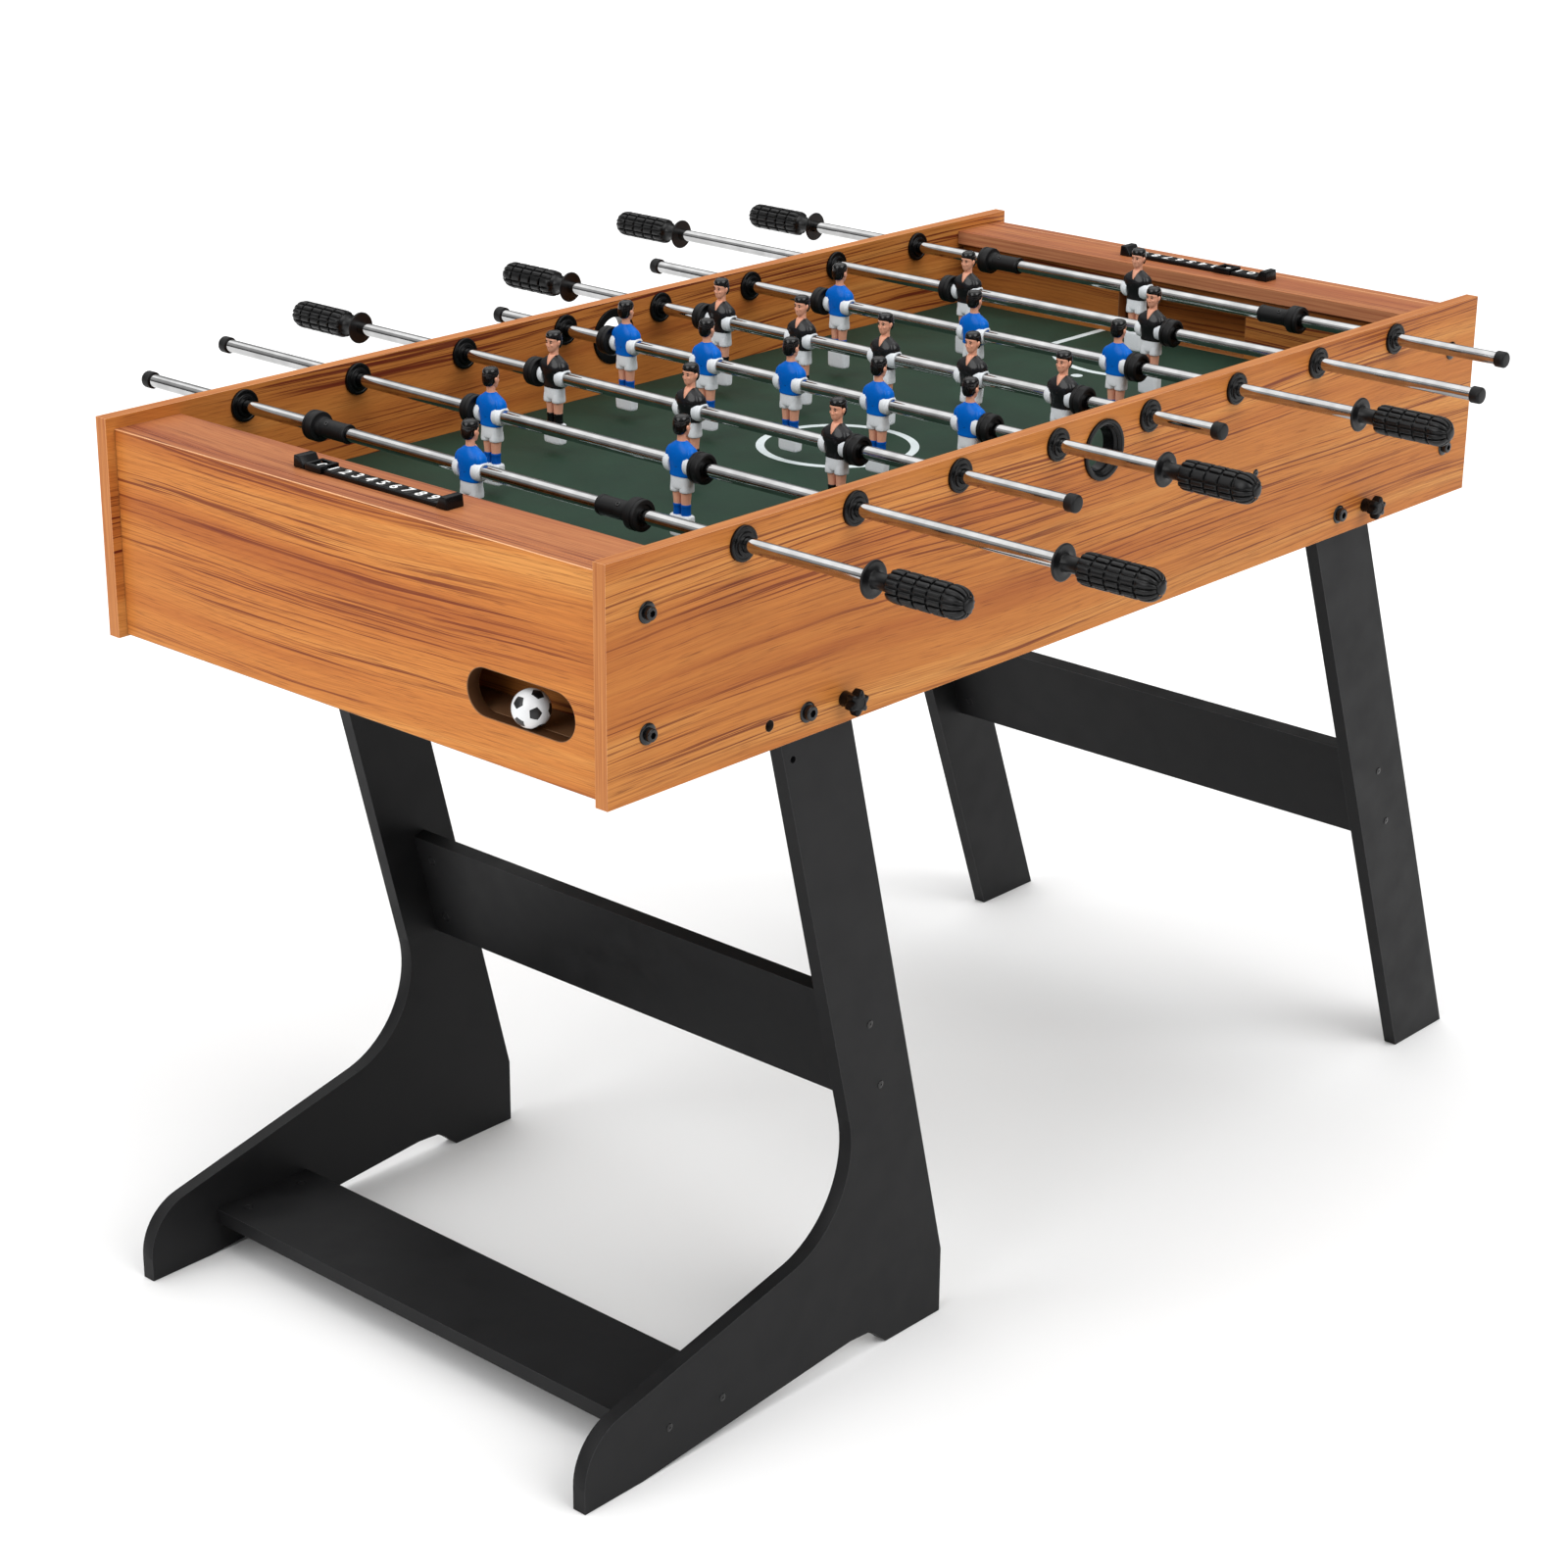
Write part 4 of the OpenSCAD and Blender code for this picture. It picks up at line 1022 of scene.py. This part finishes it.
def build_men():
    """Twenty-two copies of one man, in two teams that face each other."""
    low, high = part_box("men_1")
    x, z = rod_axis(1)
    up, down = (high.z - z) / MM, (z - low.z) / MM
    half = MAN_WIDTH / MM / 2
    bm = man_bmesh(up, down, half)
    bmesh.ops.transform(bm, verts=bm.verts, matrix=Matrix.Scale(MM, 4))
    blue, black = ([M[name] for name in (shirt, "kit_white", "skin", sock, "hair_black", "bolt_black")]
                   for shirt, sock in (("shirt_blue", "sock_blue"), ("shirt_black", "hair_black")))
    pattern = finish_mesh("man_pattern", bm, blue, 50)
    pattern_black = pattern.data.copy()
    for index, material in enumerate(black):
        pattern_black.materials[index] = material
    for i in RODS:
        low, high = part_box(f"men_{i}")
        count = MEN_ON[i]
        pitch = (high.y - low.y - MAN_WIDTH) / (count - 1) if count > 1 else 0.0
        x, z = rod_axis(i)
        facing = -GRIP_SIDE[i]
        for k in range(count):
            mesh = pattern.data if facing > 0 else pattern_black
            man = bpy.data.objects.new(f"man_{i}_{k + 1}", mesh)
            bpy.context.scene.collection.objects.link(man)
            man.matrix_world = at(x, (k - (count - 1) / 2) * pitch, z) @ Matrix.Rotation(
                0 if facing > 0 else math.pi, 4, "Z")
            go_with(man, f"rod_{i}_turning")
            if k == 0:
                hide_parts(f"men_{i}")
    bpy.data.objects.remove(pattern)


# ---------------------------------------------------------------- score counters and ball

def rounded_box(bm, low, high, radius, segments=2, skew=(0.0, 0.0)):
    """Box with eased edges; skew draws its top in at its low and high Y sides."""
    verts = [bm.verts.new((x, y, z)) for x in (low[0], high[0]) for y in (low[1], high[1])
             for z in (low[2], high[2])]
    middle = (low[1] + high[1]) / 2
    for v in verts:
        if v.co.z > (low[2] + high[2]) / 2:
            v.co.y += skew[0] if v.co.y < middle else -skew[1]
    quads = ((0, 1, 3, 2), (4, 6, 7, 5), (0, 4, 5, 1), (2, 3, 7, 6), (0, 2, 6, 4), (1, 5, 7, 3))
    faces = [bm.faces.new([verts[i] for i in quad]) for quad in quads]
    bm.normal_update()
    edges = list({e for f in faces for e in f.edges})
    bmesh.ops.bevel(bm, geom=edges, offset=radius, segments=segments, profile=0.5, affect="EDGES")


def digit_meshes():
    """Thin solids of the digits 0 to 9, about 11.5 mm tall, centred."""
    meshes = []
    for digit in range(10):
        curve = bpy.data.curves.new(f"digit_{digit}", "FONT")
        curve.body = str(digit)
        curve.size = 15.6 * MM
        curve.extrude = 0.08 * MM
        curve.offset = 0.24 * MM
        curve.align_x = "CENTER"
        curve.align_y = "CENTER"
        obj = bpy.data.objects.new(f"digit_{digit}", curve)
        bpy.context.scene.collection.objects.link(obj)
        bpy.context.view_layer.update()
        mesh = bpy.data.meshes.new_from_object(obj.evaluated_get(bpy.context.evaluated_depsgraph_get()))
        low = Vector(min(v.co[k] for v in mesh.vertices) for k in range(3))
        high = Vector(max(v.co[k] for v in mesh.vertices) for k in range(3))
        mesh.transform(Matrix.Translation(-(low + high) / 2))
        meshes.append(mesh)
        bpy.data.objects.remove(obj)
    return meshes


def build_score_counters():
    """Numbered bars with capped ends on the top rails, each with its sliding window."""
    digits = digit_meshes()
    bars = sorted(clusters("score_bars"), key=lambda b: b[0].x)
    for end, (low, high) in zip(("near", "far"), (bars[0], bars[-1])):
        slider_low, slider_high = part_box(f"score_slider_{end}")
        x = (low.x + high.x) / 2
        base = low.z
        cap_top = high.z
        cap_l = 14 * MM
        bar_half = (high.y - low.y) / 2 - cap_l
        bar_top = base + 4.5 * MM
        bm = bmesh.new()
        rounded_box(bm, (x - 8.2 * MM, -bar_half - 1 * MM, base + 0.05 * MM),
                    (x + 8.2 * MM, bar_half + 1 * MM, bar_top - 0.6 * MM), 0.5 * MM)
        for s in (-1, 1):
            y0, y1 = sorted((s * bar_half, s * (bar_half + cap_l)))
            rounded_box(bm, (x - 9.4 * MM, y0, base + 0.02 * MM), (x + 9.4 * MM, y1, cap_top),
                        1.0 * MM, 3, (1.0 * MM, 6.0 * MM)[::-s])
        # One tile for each digit, parted by fine joints
        pitch = 15 * MM
        for k in range(10):
            y = (4.5 - k) * pitch
            rounded_box(bm, (x - 7.4 * MM, y - pitch / 2 + 0.35 * MM, bar_top - 1.2 * MM),
                        (x + 7.4 * MM, y + pitch / 2 - 0.35 * MM, bar_top - 0.1 * MM), 0.3 * MM)
        obj = finish_mesh(f"score_bar_{end}", bm, [M["plastic_black"]])
        stand_in(obj, "score_bars", "cabinet")
        # Digits read from the end where the counter's player stands
        flip = 1 if end == "near" else -1
        marks = bmesh.new()
        turn = Matrix.Rotation(math.radians(-90 * flip), 4, "Z")
        for k, mesh in enumerate(digits):
            before = len(marks.verts)
            marks.from_mesh(mesh)
            marks.verts.ensure_lookup_table()
            place = at(x, flip * (4.5 - k) * pitch, bar_top - 0.05 * MM)
            bmesh.ops.transform(marks, verts=marks.verts[before:], matrix=place @ turn)
        numbers = finish_mesh(f"score_digits_{end}", marks, [M["digit_white"]])
        go_with(numbers, "cabinet")
        build_slider(end, slider_low, slider_high, x)


def build_slider(end, low, high, x):
    """Window frame that rides over the bar: two cheeks, two cross ribs and a lip round the window."""
    bm = bmesh.new()
    cheek = 1.35 * MM
    lid = 1.7 * MM
    window = 6.6 * MM
    y = (low.y + high.y) / 2
    for s in (-1, 1):
        edge = low.x if s < 0 else high.x
        x0, x1 = sorted((edge, edge - s * cheek))
        rounded_box(bm, (x0, low.y, low.z), (x1, high.y, high.z - 0.3 * MM), 0.35 * MM)
        rib0, rib1 = sorted((y + s * window, high.y if s > 0 else low.y))
        rounded_box(bm, (low.x + 0.2 * MM, rib0, high.z - lid),
                    (high.x - 0.2 * MM, rib1, high.z), 0.5 * MM)
        side0, side1 = sorted((x + s * window, edge - s * 0.2 * MM))
        rounded_box(bm, (side0, low.y + 0.4 * MM, high.z - lid),
                    (side1, high.y - 0.4 * MM, high.z - 0.2 * MM), 0.4 * MM)
    obj = finish_mesh(f"score_slider_{end}_window", bm, [M["plastic_black"]])
    stand_in(obj, f"score_slider_{end}", f"score_slider_{end}")


def build_ball():
    """Ball of twelve black and twenty white panels with shallow seams."""
    low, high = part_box("ball")
    centre = (low + high) / 2
    radius = (high.z - low.z) / 2
    bm = bmesh.new()
    bmesh.ops.create_icosphere(bm, subdivisions=1, radius=1.0)
    bmesh.ops.bevel(bm, geom=list(bm.verts), offset=100 / 3, offset_type="PERCENT", segments=1,
                    affect="VERTICES", profile=0.5)
    for face in bm.faces:
        face.material_index = 1 if len(face.verts) == 5 else 0
    inset = bmesh.ops.inset_individual(bm, faces=list(bm.faces), thickness=0.022, use_even_offset=True)
    seam_faces = set(inset["faces"])
    inner = {v for f in bm.faces if f not in seam_faces for v in f.verts}
    depth = bm.verts.layers.float.new("depth")
    for v in bm.verts:
        v[depth] = 0.0 if v in inner else 1.0
    big = [f for f in bm.faces if f not in seam_faces]
    bmesh.ops.poke(bm, faces=big)
    for _ in range(3):
        bmesh.ops.subdivide_edges(bm, edges=list(bm.edges), cuts=1, use_grid_fill=True)
    for v in bm.verts:
        v.co = v.co.normalized() * (radius - 0.16 * MM * min(1.0, max(0.0, v[depth])))
    obj = finish_mesh("ball_panels", bm, [M["ball_white"], M["ball_black"]], 60)
    obj.matrix_world = at(*centre) @ Matrix.Rotation(0.5, 4, "X") @ Matrix.Rotation(0.3, 4, "Z")
    stand_in(obj, "ball", "ball")


FOOT_BOARD_TOP = 60 * MM


def build_board_nuts():
    """Round barrel nuts let into the boards' faces, where the leg screws pull up. The foot board
    lies flat; the stretchers tilt with their legs."""
    for screws, body, tilt in (("stand_screws", "stand", 14.0), ("far_leg_screws", "far_legs", 20.0)):
        bm = bmesh.new()
        for low, high in clusters(screws):
            side, x, z, inner, _ = bolt_place(low, high)
            matrix = at(x, side * (inner + 8 * MM), z)
            if z > FOOT_BOARD_TOP:
                matrix = matrix @ Matrix.Rotation(math.radians(-90 - tilt), 4, "Y")
            lathe(bm, [(0, 5.0), (4.6, 5.0), (4.6, 7.06), (4.3, 7.14), (3.9, 6.9), (1.0, 6.9),
                       (0.8, 6.2), (0, 6.2)], 24, 0, matrix @ Matrix.Scale(MM, 4))
        obj = finish_mesh(f"{body}_barrel_nuts", bm, [M["bolt_black"]])
        go_with(obj, body)


# ---------------------------------------------------------------- stage

def build_stage():
    """Pale floor, a world that is dark below and light above for what the chrome reflects, and
    three wide soft lights."""
    n = Nodes(bpy.data.materials.new("studio_floor"))
    bpy.ops.mesh.primitive_plane_add(size=200, location=(0, 0, -0.5 * MM))
    floor = bpy.context.object
    floor.name = "studio_floor"
    floor.data.materials.append(n.set(Base_Color=(0.88, 0.88, 0.88, 1), Roughness=0.9))

    n = Nodes(bpy.data.worlds.new("studio"))
    bpy.context.scene.world = n.owner
    height = n.split(n.add("ShaderNodeTexCoord").outputs["Generated"])[2]
    background = n.tree.nodes["Background"]
    n.put(background.inputs["Color"], n.ramp(height, (0.0, 0.12), (0.18, 0.22), (0.42, 0.88), (1.0, 1.0)))
    n.put(background.inputs["Strength"], 0.62)
    # The camera sees a plain white backdrop behind the floor
    backdrop = n.add("ShaderNodeBackground")
    n.put(backdrop.inputs["Color"], (1, 1, 1, 1))
    mix = n.add("ShaderNodeMixShader")
    is_camera = n.add("ShaderNodeLightPath").outputs["Is Camera Ray"]
    for socket, source in zip(mix.inputs, (is_camera, background.outputs[0], backdrop.outputs[0])):
        n.link(source, socket)
    n.link(mix.outputs[0], n.tree.nodes["World Output"].inputs["Surface"])

    def soft_light(name, energy, width, place):
        """Even light from far away; width is the angle its source fills, in degrees."""
        light = bpy.data.lights.new(name, "SUN")
        light.energy = energy
        light.angle = math.radians(width)
        obj = bpy.data.objects.new(name, light)
        bpy.context.scene.collection.objects.link(obj)
        obj.location = place
        obj.rotation_euler = (-Vector(place)).to_track_quat("-Z", "Y").to_euler()

    soft_light("key", 1.45, 45, (0.6, -6.0, 4.6))
    soft_light("fill", 1.25, 45, (-6.4, 0.8, 3.8))
    soft_light("top", 1.6, 90, (0.4, 0.8, 5.4))
    bpy.context.scene.view_settings.view_transform = "Standard"


def build_rods():
    """Chromed tubes, in the CAD's own shape."""
    for i in RODS:
        repaint(f"rod_{i}", M["rod_chrome"])


def build_camera():
    """Three-quarter view from the near right corner, a little above the rods."""
    camera = bpy.data.cameras.new("camera")
    obj = bpy.data.objects.new("camera", camera)
    bpy.context.scene.collection.objects.link(obj)
    bpy.context.scene.camera = obj
    right = Vector((0.67013, -0.74220, 0.00835)).normalized()
    forward = Vector((0.69423, 0.62276, -0.36086)).normalized()
    up = right.cross(forward).normalized()
    right = forward.cross(up).normalized()
    turn = Matrix((right, up, -forward)).transposed().to_4x4()
    obj.matrix_world = Matrix.Translation((-2.3154, -1.9907, 1.5635)) @ turn
    camera.sensor_width = 36.0
    camera.lens = 77.46
    camera.clip_end = 100


build_boards()
build_pitch_lines()
build_bushes()
build_entry_cups()
build_cabinet_bolts()
build_leg_screws()
build_board_nuts()
build_knobs()
build_rods()
build_grips()
build_bumpers()
build_men()
build_score_counters()
build_ball()
build_stage()
build_camera()

bpy.context.view_layer.update()
